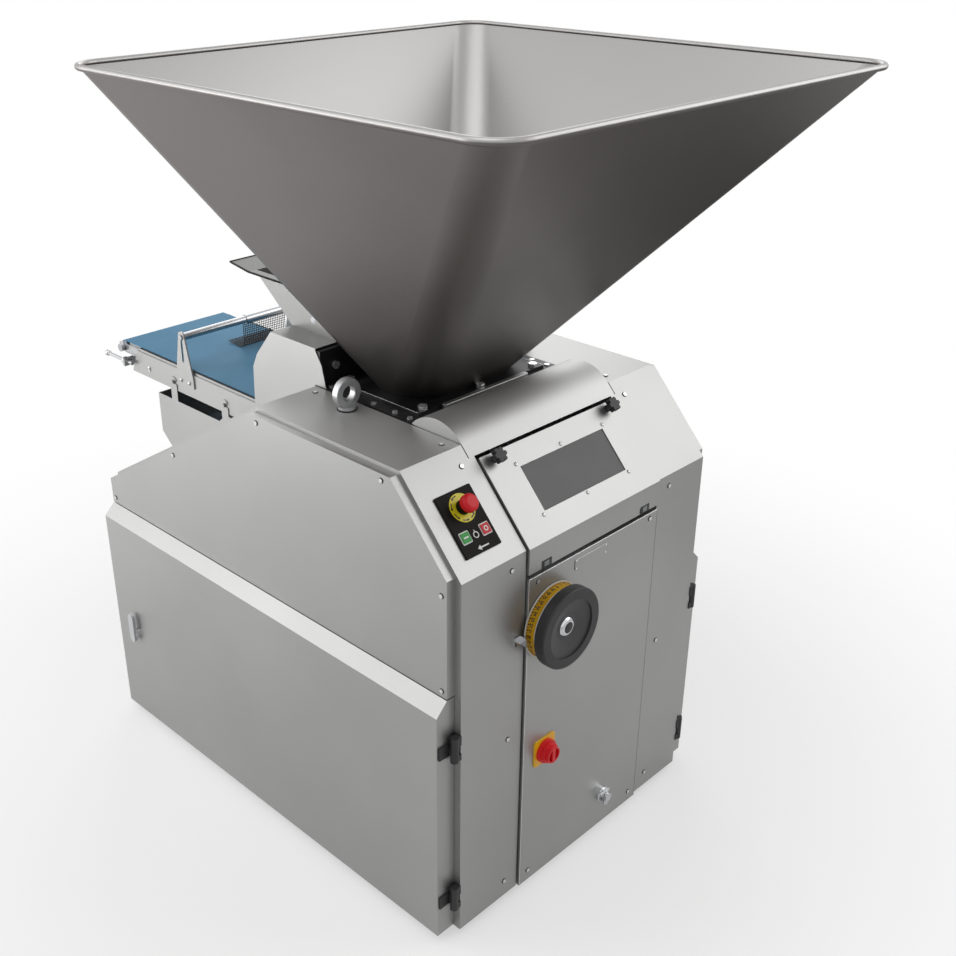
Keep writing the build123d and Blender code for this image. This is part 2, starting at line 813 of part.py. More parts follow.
# Conveyor frame: two channel rails, the slider bed between them and three cross bars
rail_inner = rail_half - rail
rail_slant = 30
hook_rise = 23
hook_height = rail_bottom + hook_rise
belt_radius = roller_radius + round_gap + belt
bed_top = roller_height + roller_radius
bed_drop = 8
bed_bottom = rail_top - bed_drop
bar_radius = 8
arm_front = rail_back - panel_proud
tray_pin_length = 8
with BuildPart() as conveyor_frame:
    rail_points = (
        (rail_front, rail_bottom),
        (rail_front, rail_top),
        (rail_back, rail_top),
        (rail_back + rail_slant, rail_bottom),
    )
    for hand in (-1, 1):
        prism(rail_points, hand * rail_inner, hand * rail_half)
        foot_edge = hand * (rail_inner - rim_lip)
        block(hand * rail_inner, foot_edge, rail_front, rail_back, rail_bottom, rail_bottom + rail)
        for d in tray_hooks:
            rod(side(hand * rail_half), (d, hook_height), tray_pin, hand * tray_pin_length)
        hole = axle_radius + shaft_gap
        rod(side(hand * rail_half), (drive_depth, roller_height), hole, -hand * rail, mode=Mode.SUBTRACT)
    bed_half = rail_inner - weld_gap
    bed_front = drive_depth + belt_radius + panel_proud
    bed_back = end_depth - belt_radius - panel_proud
    bed_step = arm_front - pivot_gap
    block(-bed_half, bed_half, bed_front, bed_step, bed_bottom, bed_top)
    block(-belt_half, belt_half, bed_step, bed_back, bed_bottom, bed_top)
    for d in (rail_front + 2 * tube, tray_hooks[0] + tube, rail_back - tube):
        bar_height = rail_bottom + rail + bar_radius + weld_gap
        rod(side(-bed_half), (d, bar_height), bar_radius, 2 * bed_half)
keep(conveyor_frame, "conveyor_frame")

# Belt as one closed loop around both rollers
with BuildPart() as conveyor_belt:
    with BuildSketch(side(-belt_half)):
        with Locations(((drive_depth + end_depth) / 2, roller_height)):
            SlotCenterToCenter(end_depth - drive_depth, 2 * belt_radius)
            SlotCenterToCenter(end_depth - drive_depth, 2 * (belt_radius - belt), mode=Mode.SUBTRACT)
    extrude(amount=2 * belt_half)
keep(conveyor_belt, "conveyor_belt")

with BuildPart() as drive_roller:
    rod(side(-belt_half), (drive_depth, roller_height), roller_radius, 2 * belt_half)
    axle_half = rail_half + rail
    rod(side(-axle_half), (drive_depth, roller_height), axle_radius, 2 * axle_half)
keep(drive_roller, "drive_roller")

# End roller on two tension arms that a screw draws along the rails
arm_inner = belt_half + pivot_gap
arm_outer = rail_inner - weld_gap
arm_half = 12
bush_radius = 11
bush_length = 10
screw_half = 5
screw_tail = 22
nut_radius = 11
nut_length = 10
lug_thick = 8
ball_radius = 9
with BuildPart() as end_roller:
    rod(side(-belt_half), (end_depth, roller_height), roller_radius, 2 * belt_half)
    bush_face = arm_outer + pivot_gap
    axle_end = bush_face + bush_length
    rod(side(-axle_end), (end_depth, roller_height), axle_radius, 2 * axle_end)
    for hand in (-1, 1):
        rod(side(hand * bush_face), (end_depth, roller_height), bush_radius, hand * bush_length)
keep(end_roller, "end_roller")
with BuildPart() as tension_screws:
    for hand in (-1, 1):
        near = hand * arm_inner
        far = hand * arm_outer
        low = tension_height - arm_half
        start = rail_back + rail_slant + pivot_gap
        block(near, far, arm_front, start, low, roller_height + arm_half)
        tip = end_depth + belt_radius
        block(near, far, arm_front, tip, roller_height - arm_half, roller_height + arm_half)
        hole = axle_radius + shaft_gap
        rod(side(near), (end_depth, roller_height), hole, far - near, mode=Mode.SUBTRACT)
        line = (hand * (rail_half + nut_radius + pivot_gap), tension_height)
        lug_edge = line[0] + hand * nut_radius
        lug_low = tension_height - nut_radius
        block(near, lug_edge, start, start + lug_thick, lug_low, lug_low + 2 * nut_radius)
        rod(front(tension_end - ball_radius), line, screw_half, tension_end - ball_radius - start + screw_tail)
        with BuildSketch(front(start + lug_thick + nut_length)) as nut:
            with Locations(line):
                RegularPolygon(nut_radius, 6)
        extrude(nut.sketch, amount=nut_length)
        with Locations(front(tension_end - ball_radius).location * Pos(line[0], line[1], 0)):
            Sphere(ball_radius)
keep(tension_screws, "tension_screws")

# Slotted brackets on the rails and the cross rod between them
bracket_half = 37.5
bracket_foot = 37
bracket_low = rail_top - bracket_foot
shoulder_drop = 11
bracket_shoulder = rail_top - shoulder_drop
bracket_tip = 13
slot_rise = 32
slot_low = rail_top + slot_rise
with BuildPart() as mat_brackets:
    for hand in (-1, 1):
        with BuildSketch(side(hand * rail_half)) as plate_outline:
            tip_height = bracket_top - bracket_tip
            with BuildLine():
                Polyline(
                    (bracket_depth - bracket_half, bracket_low),
                    (bracket_depth + bracket_half, bracket_low),
                    (bracket_depth + bracket_half, bracket_shoulder),
                    (bracket_depth + bracket_tip, tip_height),
                    (bracket_depth - bracket_tip, tip_height),
                    (bracket_depth - bracket_half, bracket_shoulder),
                    close=True,
                )
            make_face()
            with Locations((bracket_depth, tip_height)):
                Circle(bracket_tip)
            with Locations((bracket_depth, (slot_low + rod_height) / 2)):
                slot_width = 2 * (rod_stud + round_gap)
                SlotCenterToCenter(rod_height - slot_low, slot_width, rotation=90, mode=Mode.SUBTRACT)
        extrude(plate_outline.sketch, amount=hand * rail)
keep(mat_brackets, "mat_brackets")
rod_axis = (bracket_depth, rod_height)
with BuildPart() as mat_rod:
    rod(side(-rail_half), rod_axis, rod_radius, 2 * rail_half)
    for hand in (-1, 1):
        rod(side(hand * rail_half), rod_axis, rod_stud, hand * rail)
        with BuildSketch(side(hand * (rail_half + rail))) as bolt:
            with Locations(rod_axis):
                RegularPolygon(2 * rod_stud, 6)
        extrude(bolt.sketch, amount=hand * rod_stud)
keep(mat_rod, "mat_rod")

# Wire-mesh mat: hangs from the rod and curls along the belt
mat_end = 1301
mat_lift = 0.7
mesh = 9
wire = 2
mat_bend = 22
mat_face = bracket_depth + rod_radius + round_gap
mat_low = roller_height + belt_radius + mat_lift
bend_depth = mat_face + mat + mat_bend
bend_height = mat_low + mat + mat_bend
corner = cos(radians(45))
with BuildPart() as mesh_mat:
    with BuildSketch(side(mat_inner)):
        with BuildLine():
            Line((mat_face + mat, rod_height), (mat_face + mat, bend_height))
            inside_mid = (bend_depth - mat_bend * corner, bend_height - mat_bend * corner)
            ThreePointArc((mat_face + mat, bend_height), inside_mid, (bend_depth, mat_low + mat))
            Line((bend_depth, mat_low + mat), (mat_end, mat_low + mat))
            Line((mat_end, mat_low + mat), (mat_end, mat_low))
            Line((mat_end, mat_low), (bend_depth, mat_low))
            outer_bend = mat_bend + mat
            outside_mid = (bend_depth - outer_bend * corner, bend_height - outer_bend * corner)
            ThreePointArc((bend_depth, mat_low), outside_mid, (mat_face, bend_height))
            Line((mat_face, bend_height), (mat_face, rod_height))
            Line((mat_face, rod_height), (mat_face + mat, rod_height))
        make_face()
        with Locations(rod_axis):
            Circle(rod_radius + round_gap + mat)
            Circle(rod_radius + round_gap, mode=Mode.SUBTRACT)
    extrude(amount=mat_outer - mat_inner)
    columns = int((mat_outer - mat_inner - wire) / mesh)
    mat_middle = (mat_inner + mat_outer) / 2
    hang = rod_height - rod_radius - mat - wire - bend_height
    lie = mat_end - bend_depth - wire
    with BuildSketch(front(mat_face + 2 * mat)) as hanging_gaps:
        with Locations((mat_middle, bend_height + hang / 2)):
            with GridLocations(mesh, mesh, columns, int(hang / mesh)):
                Rectangle(mesh - wire, mesh - wire)
    extrude(hanging_gaps.sketch, amount=3 * mat, mode=Mode.SUBTRACT)
    with BuildSketch(level(mat_low - mat)) as lying_gaps:
        with Locations((mat_middle, bend_depth + lie / 2)):
            with GridLocations(mesh, mesh, columns, int(lie / mesh)):
                Rectangle(mesh - wire, mesh - wire)
    extrude(lying_gaps.sketch, amount=4 * mat, mode=Mode.SUBTRACT)
keep(mesh_mat, "mesh_mat")

# Crumb tray hung by four hooks on pins of the rails
tray_half = rail_half + seam
tray_front = 1025
tray_drop = 30
tray_rim = rail_bottom - tray_drop
front_drop = 24
tray_floor = rail_bottom - front_drop
tray_wall = 112
tray_lip = tray_rim - tray_wall
toe_drop = 38
tray_low = tray_lip - toe_drop
tray_toe = 1312
hook_half = 14
with BuildPart() as crumb_tray:
    tray_points = (
        (tray_front, rail_bottom - panel_proud),
        (tray_hooks[0], rail_bottom - panel_proud),
        (tray_hooks[0] + 2 * hook_half, tray_rim),
        (tray_back, tray_rim),
        (tray_back, tray_lip),
        (tray_toe, tray_low),
        (tray_front, tray_floor),
    )
    prism(tray_points, -tray_half - sheet, tray_half + sheet)
    mouth = crumb_tray.faces().filter_by(lambda face: face.normal_at().Z > 0.5)
    offset(amount=-sheet, openings=mouth)
    for hand in (-1, 1):
        for d in tray_hooks:
            near = hand * tray_half
            far = hand * (tray_half + sheet)
            block(near, far, d - hook_half, d + hook_half, tray_rim - sheet, hook_height)
            rod(side(near), (d, hook_height), hook_half, far - near)
            hole = tray_pin + round_gap
            rod(side(near), (d, hook_height), hole, far - near, mode=Mode.SUBTRACT)
            block(near, far, d - hook_half, d, hook_height - hole, hook_height + hole, mode=Mode.SUBTRACT)
keep(crumb_tray, "crumb_tray")

# Control plate with the collar of the emergency stop and the wells of two keys
key_well = key_size / 2 + slide_gap
stop_centre = (stop_width, stop_rise)
with BuildPart() as control_plate:
    with BuildSketch(slope()) as face:
        with Locations((-(plate_outer + plate_inner) / 2, (plate_low + plate_high) / 2)):
            RectangleRounded(plate_outer - plate_inner, plate_high - plate_low, 3)
        with Locations((start_width, key_rise), (halt_width, key_rise)):
            Rectangle(2 * key_well, 2 * key_well, mode=Mode.SUBTRACT)
    extrude(face.sketch, amount=plate)
    rod(slope(plate), stop_centre, collar_radius, collar_height)
    rod(slope(), stop_centre, stop_stem + shaft_gap, plate + collar_height, mode=Mode.SUBTRACT)
keep(control_plate, "control_plate")

stop_head = 16
stop_stand = plate + collar_height + stop_travel + pivot_gap
stem_below = 10
with BuildPart() as emergency_stop_button:
    rod(slope(-stem_below), stop_centre, stop_stem, stem_below + stop_stand)
    rod(slope(stop_stand), stop_centre, stop_radius, stop_head)
    crown = emergency_stop_button.edges().sort_by(Axis((0, 0, 0), slope().z_dir))[-1]
    fillet(crown, stop_head / 2)
keep(emergency_stop_button, "emergency_stop_button")
key_proud = key_travel + pivot_gap
for name, width in (("start_button", start_width), ("stop_button", halt_width)):
    with BuildPart() as key:
        with BuildSketch(slope(plate - stem_below)) as cap:
            with Locations((width, key_rise)):
                Rectangle(key_size, key_size)
        extrude(cap.sketch, amount=stem_below + key_proud)
    keep(key, name)

# Handwheel, dial drum and adjusting screw turn together; the nut travels along the screw
wheel_axis = (wheel_width, wheel_height)
panel_face = -panel_proud
dial_back = panel_face - sheet
dial_depth = wheel_stand - panel_proud
dial_front = dial_back - dial_depth
wheel_back = dial_front - sheet
rim_round = 4
web_step = 5
web_slant = 10
hub_radius = 20
hub_depth = 11
with BuildPart() as handwheel:
    wheel_face = wheel_back - rim_depth
    dish_radius = wheel_radius - rim_width
    rod(front(wheel_back), wheel_axis, wheel_radius, rim_depth)
    fillet(handwheel.edges().filter_by(GeomType.CIRCLE), rim_round)
    rod(front(wheel_face + web_step), wheel_axis, dish_radius, web_step, mode=Mode.SUBTRACT)
    with Locations(front(wheel_face + web_step + web_slant).location * Pos(*wheel_axis, 0)):
        low_end = (Align.CENTER, Align.CENTER, Align.MIN)
        Cone(hub_radius + web_slant, dish_radius, web_slant, align=low_end, mode=Mode.SUBTRACT)
    rod(front(wheel_back), wheel_axis, dish_radius, web_step, mode=Mode.SUBTRACT)
    rod(front(wheel_back), wheel_axis, hub_radius, hub_depth)
    rod(front(wheel_back), wheel_axis, screw_radius + shaft_gap, hub_depth, mode=Mode.SUBTRACT)
keep(handwheel, "handwheel")
dial_wall = 8
dial_flange = 4
with BuildPart() as dial_drum:
    rod(front(dial_back), wheel_axis, dial_radius, dial_depth)
    rod(front(dial_back), wheel_axis, dial_radius + dial_flange, sheet)
    hollow = dial_depth - dial_wall
    rod(front(dial_back - dial_wall), wheel_axis, dial_radius - dial_wall, hollow, mode=Mode.SUBTRACT)
    rod(front(dial_back), wheel_axis, screw_radius + shaft_gap, dial_wall, mode=Mode.SUBTRACT)
keep(dial_drum, "dial_drum")
cap_radius = 13
cap_height = 7
with BuildPart() as adjusting_screw:
    shank = screw_length - wheel_back + hub_depth
    rod(front(screw_length), wheel_axis, screw_radius, shank)
    rod(front(wheel_back - hub_depth), wheel_axis, cap_radius, cap_height)
    crown = adjusting_screw.edges().sort_by(Axis.Y)[0]
    fillet(crown, cap_height / 2)
keep(adjusting_screw, "adjusting_screw")
nut_length_along = 40
with BuildPart() as adjusting_nut:
    half_nut = nut_size / 2
    nut_box = (wheel_width - half_nut, wheel_width + half_nut, nut_depth, nut_depth + nut_length_along)
    block(*nut_box, wheel_height - half_nut, wheel_height + half_nut)
    hole = screw_radius + shaft_gap
    rod(front(nut_depth + nut_length_along), wheel_axis, hole, nut_length_along, mode=Mode.SUBTRACT)
keep(adjusting_nut, "adjusting_nut")

# Pointer beside the dial, on the column
pointer_gap = 3
pointer_plate = 3
pointer_height = 20
pointer_drop = 10
pointer_foot = 18
pointer_reach = 20
with BuildPart() as dial_pointer:
    tip = wheel_width - dial_radius - dial_flange - pointer_gap
    low = wheel_height - pointer_drop - pointer_height / 2
    block(tip - pointer_foot, tip, -pointer_plate, 0, low, low + pointer_height)
    block(tip - pointer_plate, tip, -pointer_reach, 0, low, low + pointer_height)
keep(dial_pointer, "dial_pointer")

# Main isolator: plate and rotary handle
isolator_axis = (isolator_width, isolator_height)
grip_step = 9
grip_ease = 4.5
grip_bar = 9
grip_wall = 3
with BuildPart() as isolator_plate:
    with BuildSketch(front(panel_face)) as legend:
        with Locations(isolator_axis):
            RectangleRounded(isolator_size, isolator_size, 6)
            Circle(spindle_radius + shaft_gap, mode=Mode.SUBTRACT)
    extrude(legend.sketch, amount=plate)
keep(isolator_plate, "isolator_plate")
with BuildPart() as isolator_handle:
    base = panel_face - plate
    rod(front(fold_return), isolator_axis, spindle_radius, fold_return - base)
    for step in range(3):
        rod(front(base), isolator_axis, grip_radius - step * grip_ease, (step + 1) * grip_step)
    with BuildSketch(front(base - 2 * grip_step)) as sunk:
        with Locations(isolator_axis):
            Circle(grip_radius - 2 * grip_ease - grip_wall)
            Rectangle(grip_bar, 2 * grip_radius, mode=Mode.SUBTRACT)
    extrude(sunk.sketch, amount=grip_step, mode=Mode.SUBTRACT)
keep(isolator_handle, "isolator_handle")

# Drain tap low on the front panel
tap_radius = 11
tap_length = 24
spout_radius = 6
with BuildPart() as drain_tap:
    rod(front(panel_face), (tap_width, tap_height), tap_radius, tap_length)
    spout_depth = panel_face - tap_length + 1.5 * spout_radius
    rod(level(tap_height), (tap_width, spout_depth), spout_radius, -2 * tap_radius)
    rod(level(tap_height), (tap_width, spout_depth), spout_radius, tap_radius + spout_radius)
    bar = (tap_width - 2 * tap_radius, tap_width + tap_radius, spout_depth - sheet, spout_depth + sheet)
    block(*bar, tap_height + tap_radius, tap_height + tap_radius + spout_radius)
keep(drain_tap, "drain_tap")

# Lifting eyes on the top covers
eye_width = 272
eye_depth = 461
eye_outer = 33
eye_hole = 16.5
eye_thick = 17
eye_collar = 20
eye_seat = 9
eye_sink = 5
eye_round = 2
with BuildPart() as lifting_eyes:
    for hand in (-1, 1):
        ring = (hand * eye_width, cabinet_top + eye_seat + eye_outer - eye_sink)
        rod(front(eye_depth + eye_thick / 2), ring, eye_outer, eye_thick)
        rod(front(eye_depth + eye_thick / 2), ring, eye_hole, eye_thick, mode=Mode.SUBTRACT)
    fillet(lifting_eyes.edges().filter_by(GeomType.CIRCLE), eye_round)
    for hand in (-1, 1):
        rod(level(cabinet_top), (hand * eye_width, eye_depth), eye_collar, eye_seat)
keep(lifting_eyes, "lifting_eyes")

# Pan-head screws of the covers, panels, rails and casting
screw_head = 4.5
screw_rise = 2.5
screw_inset = 14
casting_screws = (6, 51, 117, 254)
with BuildPart() as panel_screws:
    for _, hand, edge in sides:
        pan_face = side(hand * (edge + pan_depth))
        front_line = pan_front + screw_inset
        middle = (top_back + cabinet_depth) / 2
        places = (
            (front_line, pan_bottom + screw_inset),
            (front_line, slope_foot - 2 * screw_inset),
            (slope_run + 2 * screw_inset, cabinet_top - pan_inset - screw_inset),
            (top_back - 2 * screw_inset, cabinet_top - pan_inset - screw_inset),
            (middle, back_line(middle, pan_inset + screw_inset)),
            (cabinet_depth - screw_inset, pan_bottom + screw_inset),
        )
        for place in places:
            rod(pan_face, place, screw_head, hand * screw_rise)
        line = hand * (front_opening + 3 * screw_inset)
        for h in (3 * screw_inset, slope_foot / 2, slope_foot - 2 * screw_inset):
            rod(front(0), (line, h), screw_head, screw_rise)
        rod(slope(), (line, cover_reach), screw_head, screw_rise)
        for d in (slope_run + 2 * screw_inset, top_back - 2 * screw_inset):
            rod(level(cabinet_top), (line, d), screw_head, screw_rise)
        for h in (2 * screw_inset, panel_top - screw_inset):
            rod(front(panel_face), (hand * (panel_half - 2 * screw_inset), h), screw_head, screw_rise)
        casting_line = hand * (casting_half - screw_inset)
        for d in casting_screws:
            rod(level(casting_top), (casting_line, flange_front + d), 1.4 * screw_head, screw_rise)
        wall_line = (hand * (casting_half - 3 * screw_inset), (casting_top + wall_top) / 2)
        rod(front(wall_front), wall_line, 2 * screw_head, 2 * screw_rise)
        rail_face = side(hand * rail_half)
        rod(rail_face, (rail_back - 4 * screw_inset, hook_height), screw_head, hand * screw_rise)
        for step in (-1, 1):
            place = (bracket_depth + step * 1.4 * screw_inset, bracket_low + screw_inset)
            rod(side(hand * (rail_half + rail)), place, screw_head, hand * screw_rise)
        for h in (3 * screw_inset, rear_edge / 2, rear_edge - 3 * screw_inset):
            back_line_x = hand * (edge - 2 * screw_inset)
            rod(front(cabinet_depth), (back_line_x, h), screw_head, -screw_rise)
keep(panel_screws, "panel_screws")

# Drive: geared motor, crank disc, connecting rod and the lever that moves the ram
lever_tilt = atan2(ram_stroke / 2, ram_pin_height - lever_height)
lever_reach = 826
lever_breadth = 50
lever_hub = 32
fork_gap = 0.5
fork_root = 797
link_half = 7
link_near = lever_half + pivot_gap
link_far = link_near + 2 * link_half
lever_x = (0, cos(lever_tilt), sin(lever_tilt))
lever_foot = (-lever_half, front_y + lever_depth, foot_height + lever_height)
lever_plane = Plane(origin=lever_foot, x_dir=lever_x, z_dir=(1, 0, 0))
with BuildPart() as ram_lever:
    with BuildSketch(lever_plane) as lever_outline:
        Circle(lever_hub)
        with Locations((0, lever_reach / 2)):
            Rectangle(lever_breadth, lever_reach)
        with Locations((0, (fork_root + lever_reach) / 2)):
            Rectangle(2 * (ram_pin + fork_gap), lever_reach - fork_root, mode=Mode.SUBTRACT)
        Circle(lever_pin + shaft_gap, mode=Mode.SUBTRACT)
    extrude(lever_outline.sketch, amount=2 * lever_half)
    rod(lever_plane.offset(2 * lever_half), (0, link_rise), link_pin, link_far - lever_half)
keep(ram_lever, "ram_lever")

link_start = (
    lever_depth - link_rise * sin(lever_tilt),
    lever_height + link_rise * cos(lever_tilt),
)
link_end = (link_start[0] + link_length, link_start[1])
link_eye = 22
link_big_eye = 34
link_bar = 30
with BuildPart() as connecting_rod:
    with BuildSketch(side(link_near)) as link_outline:
        with Locations(link_start):
            Circle(link_eye)
        with Locations(link_end):
            Circle(link_big_eye)
        with Locations(((link_start[0] + link_end[0]) / 2, link_start[1])):
            Rectangle(link_length, link_bar)
        with Locations(link_start):
            Circle(link_pin + shaft_gap, mode=Mode.SUBTRACT)
        with Locations(link_end):
            Circle(link_pin + round_gap, mode=Mode.SUBTRACT)
    extrude(link_outline.sketch, amount=2 * link_half)
keep(connecting_rod, "connecting_rod")

crank_radius = link_rise * sin(lever_tilt)
crank_axis = (link_end[0] + crank_radius, link_end[1])
crank_disc_radius = 60
crank_thick = 22
crank_shaft = 20
gear_face = -(lever_half + crank_thick + pivot_gap)
with BuildPart() as crank_disc:
    rod(side(-lever_half - crank_thick), crank_axis, crank_disc_radius, crank_thick)
    rod(side(-lever_half), link_end, link_pin, 2 * lever_half)
    rod(side(gear_face - 2 * crank_thick), crank_axis, crank_shaft, 2 * crank_thick + pivot_gap)
keep(crank_disc, "crank_disc")

gear_width = 116
gear_margin = 20
motor_radius = 80
motor_length = 190
motor_height = 180
gear_low = drive_rails[0] + 3
gear_high = drive_rails[1] + tube
with BuildPart() as gear_motor:
    gear_top = crank_axis[1] + crank_disc_radius + gear_margin
    block(gear_face - gear_width, gear_face, gear_low, gear_high, tube, gear_top)
    motor_axis = ((gear_low + gear_high) / 2, motor_height)
    rod(side(gear_face - gear_width), motor_axis, motor_radius, -motor_length)
    hole = crank_shaft + shaft_gap
    rod(side(gear_face), crank_axis, hole, -2 * crank_thick - pivot_gap, mode=Mode.SUBTRACT)
keep(gear_motor, "gear_motor")
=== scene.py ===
"""Looks of the piston dough divider: finishes, small trim, studio and camera, in the frame of its solids."""

import math

import bmesh
import bpy
import numpy as np
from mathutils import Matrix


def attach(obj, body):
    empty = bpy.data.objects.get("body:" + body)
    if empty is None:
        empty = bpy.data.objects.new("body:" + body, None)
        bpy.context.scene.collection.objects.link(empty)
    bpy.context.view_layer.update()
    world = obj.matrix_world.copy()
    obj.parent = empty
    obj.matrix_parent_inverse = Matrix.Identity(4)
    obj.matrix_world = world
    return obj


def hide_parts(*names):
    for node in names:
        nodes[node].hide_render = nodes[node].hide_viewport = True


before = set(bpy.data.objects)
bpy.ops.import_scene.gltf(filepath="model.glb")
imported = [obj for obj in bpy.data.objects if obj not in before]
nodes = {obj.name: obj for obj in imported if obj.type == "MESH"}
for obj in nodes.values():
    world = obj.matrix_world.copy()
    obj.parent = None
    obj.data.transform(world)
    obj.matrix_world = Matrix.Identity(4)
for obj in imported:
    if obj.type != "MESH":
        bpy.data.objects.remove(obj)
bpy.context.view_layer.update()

# Places on the machine in mm: x across, d behind the column's front face, h above the cabinet's lower edge
FRONT_Y = -675.45
FOOT = 20.0
TILT = math.radians(47.6)
SLOPE_FOOT = 872.4


def place(x, d, h):
    """Points in metres of the shared frame: x stays, d counts from the column's front and h from the
    cabinet's lower edge."""
    x, d, h = np.broadcast_arrays(np.asarray(x, float), d, h)
    return np.stack([x, FRONT_Y + d, FOOT + h], -1) / 1000.0


def on_slope(x, s, off):
    """Points at s up the sloping front from its foot and off outward from it, along the slope's normal."""
    d = s * math.cos(TILT) - off * math.sin(TILT)
    h = SLOPE_FOOT + s * math.sin(TILT) + off * math.cos(TILT)
    return place(x, d, h)


def colour(code):
    """A colour written as sRGB hex, made linear by the sRGB curve, with alpha 1."""
    c = np.array([int(code[i:i + 2], 16) for i in (1, 3, 5)]) / 255.0
    c = np.where(c <= 0.04045, c / 12.92, ((c + 0.055) / 1.055) ** 2.4)
    return (*c.tolist(), 1.0)


def add(tree, kind, links=(), **settings):
    """Adds one node: settings are its own properties, links go from a socket to a value or another socket."""
    node = tree.nodes.new("ShaderNode" + kind)
    for key, value in settings.items():
        setattr(node, key, value)
    for socket, value in dict(links).items():
        if isinstance(value, bpy.types.NodeSocket):
            tree.links.new(value, node.inputs[socket])
        else:
            node.inputs[socket].default_value = value
    return node


# Blender's noise keeps mostly between these two values
NOISE_SPREAD = {"From Min": 0.3, "From Max": 0.7}


def finish(name, tones, clouds, rough, grain, depth, stretch=(1, 1, 1), **sockets):
    """A whole finish. Its tone runs between two colours in blotches clouds mm wide. A grain of that many mm,
    drawn out by stretch along each axis, carries the roughness between two values and a relief depth mm
    deep."""
    material = bpy.data.materials.new(name)
    material.use_nodes = True
    tree = material.node_tree
    shader = tree.nodes["Principled BSDF"]
    for socket, value in sockets.items():
        shader.inputs[socket.replace("_", " ")].default_value = value
    spot = add(tree, "TexCoord").outputs["Object"]
    blotch = add(tree, "TexNoise", {"Vector": spot, "Scale": 1000 / clouds, "Detail": 2.0})
    steady = add(tree, "MapRange", {"Value": blotch.outputs[0], **NOISE_SPREAD})
    tint = add(tree, "Mix", {0: steady.outputs[0], 6: colour(tones[0]), 7: colour(tones[1])}, data_type="RGBA")
    drawn = add(tree, "Mapping", {"Vector": spot, "Scale": tuple(1 / s for s in stretch)})
    fine = add(tree, "TexNoise", {"Vector": drawn.outputs[0], "Scale": 1000 / grain, "Detail": 2.0})
    ends = {**NOISE_SPREAD, "To Min": rough[0], "To Max": rough[1]}
    gloss = add(tree, "MapRange", {"Value": fine.outputs[0], **ends})
    relief = add(tree, "Bump", {"Height": fine.outputs[0], "Distance": depth / 1000, "Strength": 1.0})
    tree.links.new(tint.outputs[2], shader.inputs["Base Color"])
    tree.links.new(gloss.outputs[0], shader.inputs["Roughness"])
    tree.links.new(relief.outputs[0], shader.inputs["Normal"])
    return material


# Satin stainless sheet of the enclosure: ground and bead-blasted, so grey and even with broad soft reflections
sheet_steel = finish("satin_stainless_sheet", ("#a1a1a0", "#a7a7a6"), 400, (0.40, 0.44), 2.5, 0.002,
                     Metallic=0.9)

# The same sheet on the left top cover under the hopper, made paler and half as metallic: painted light that
# lifts the cover where the hopper shades it
lit_sheet_copy = finish("stainless_sheet_painted_lighter", ("#b6b6b5", "#bcbcbb"), 400, (0.44, 0.48), 2.5, 0.002, Metallic=0.5)

# The same sheet rolled to the hood's round: ground dull by the rolling, so its reflections spread further
rolled_steel = finish("rolled_stainless_sheet", ("#b8b8b7", "#bebebd"), 400, (0.48, 0.53), 2.5, 0.002,
                      Metallic=0.8)

# Stainless of the hopper: glass-blasted outside, a dark smooth satin, and painted paler inside: painted light
# where the lamps fall into the hopper. The flour hopper is pale outside and painted darker inside: painted
# shade, the dark reflection of the big hopper above it. The inside is the side that faces up
hopper_steel = finish("blasted_stainless_hopper_painted_light_inside", ("#6c6866", "#726e6c"), 400, (0.38, 0.42), 3.0, 0.002,
                      Metallic=1.0)
flour_hopper_sheet = finish("stainless_sheet_painted_shade_inside", ("#a1a1a0", "#a7a7a6"), 400, (0.40, 0.44), 2.5, 0.002,
                     Metallic=0.9)
# Faces that point up take the painted tone: painted light in the hopper, painted shade in the flour hopper
for material, painted_up_tone in ((hopper_steel, "#9c9b9a"), (flour_hopper_sheet, "#5e5e5d")):
    tree = material.node_tree
    shader = tree.nodes["Principled BSDF"]
    outside = shader.inputs["Base Color"].links[0].from_socket
    facing = add(tree, "SeparateXYZ", {0: add(tree, "NewGeometry").outputs["True Normal"]})
    upward = add(tree, "MapRange", {"Value": facing.outputs["Z"], "From Min": -0.05, "From Max": 0.05})
    painted_facing = add(tree, "Mix", {0: upward.outputs[0], 6: outside, 7: colour(painted_up_tone)}, data_type="RGBA")
    tree.links.new(painted_facing.outputs[2], shader.inputs["Base Color"])

# Blackened steel plate of the hopper's flange: smooth, near black, half matt
flange_black = finish("blackened_steel_plate", ("#161617", "#1f1f21"), 45, (0.36, 0.50), 1.5, 0.01,
                      Metallic=0.3)

# Cast iron of the measuring head, enamelled black: a low sand-cast swell under a soft gloss
casting_black = finish("black_enamelled_cast_iron", ("#18181a", "#202022"), 30, (0.38, 0.50), 4.0, 0.08,
                       Specular_IOR_Level=0.45)

# Bright zinc-plated steel of rods, screws and bolts, and of the painted highlights on the flange's edges: cool,
# clear reflections with slight clouding
bright_steel = finish("bright_zinc_plated_steel", ("#b2b3b5", "#babbbd"), 40, (0.22, 0.30), 2.0, 0.002,
                      Metallic=1.0)

# White zinc on pan-head screws and rivets, also used for the painted highlights along the panel's top and left
# edges: pale and clean, with small soft lights
screw_zinc = finish("white_zinc_plated_screws", ("#d6d6d6", "#e0e0e0"), 25, (0.22, 0.30), 2.0, 0.002,
                    Metallic=0.7)

# Chrome plate of the hub, tap, pointer and door handles: a clear mirror with a faint cloud
chrome = finish("polished_chrome_plate", ("#c6c7c9", "#cfd0d2"), 60, (0.08, 0.13), 4.0, 0.0, Metallic=1.0)

# Dull zinc on forged lifting eyes: pale grey with soft reflections
dull_zinc = finish("dull_zinc_plated_steel", ("#b4b5b6", "#bebfc0"), 25, (0.36, 0.44), 2.0, 0.006,
                   Metallic=0.85)

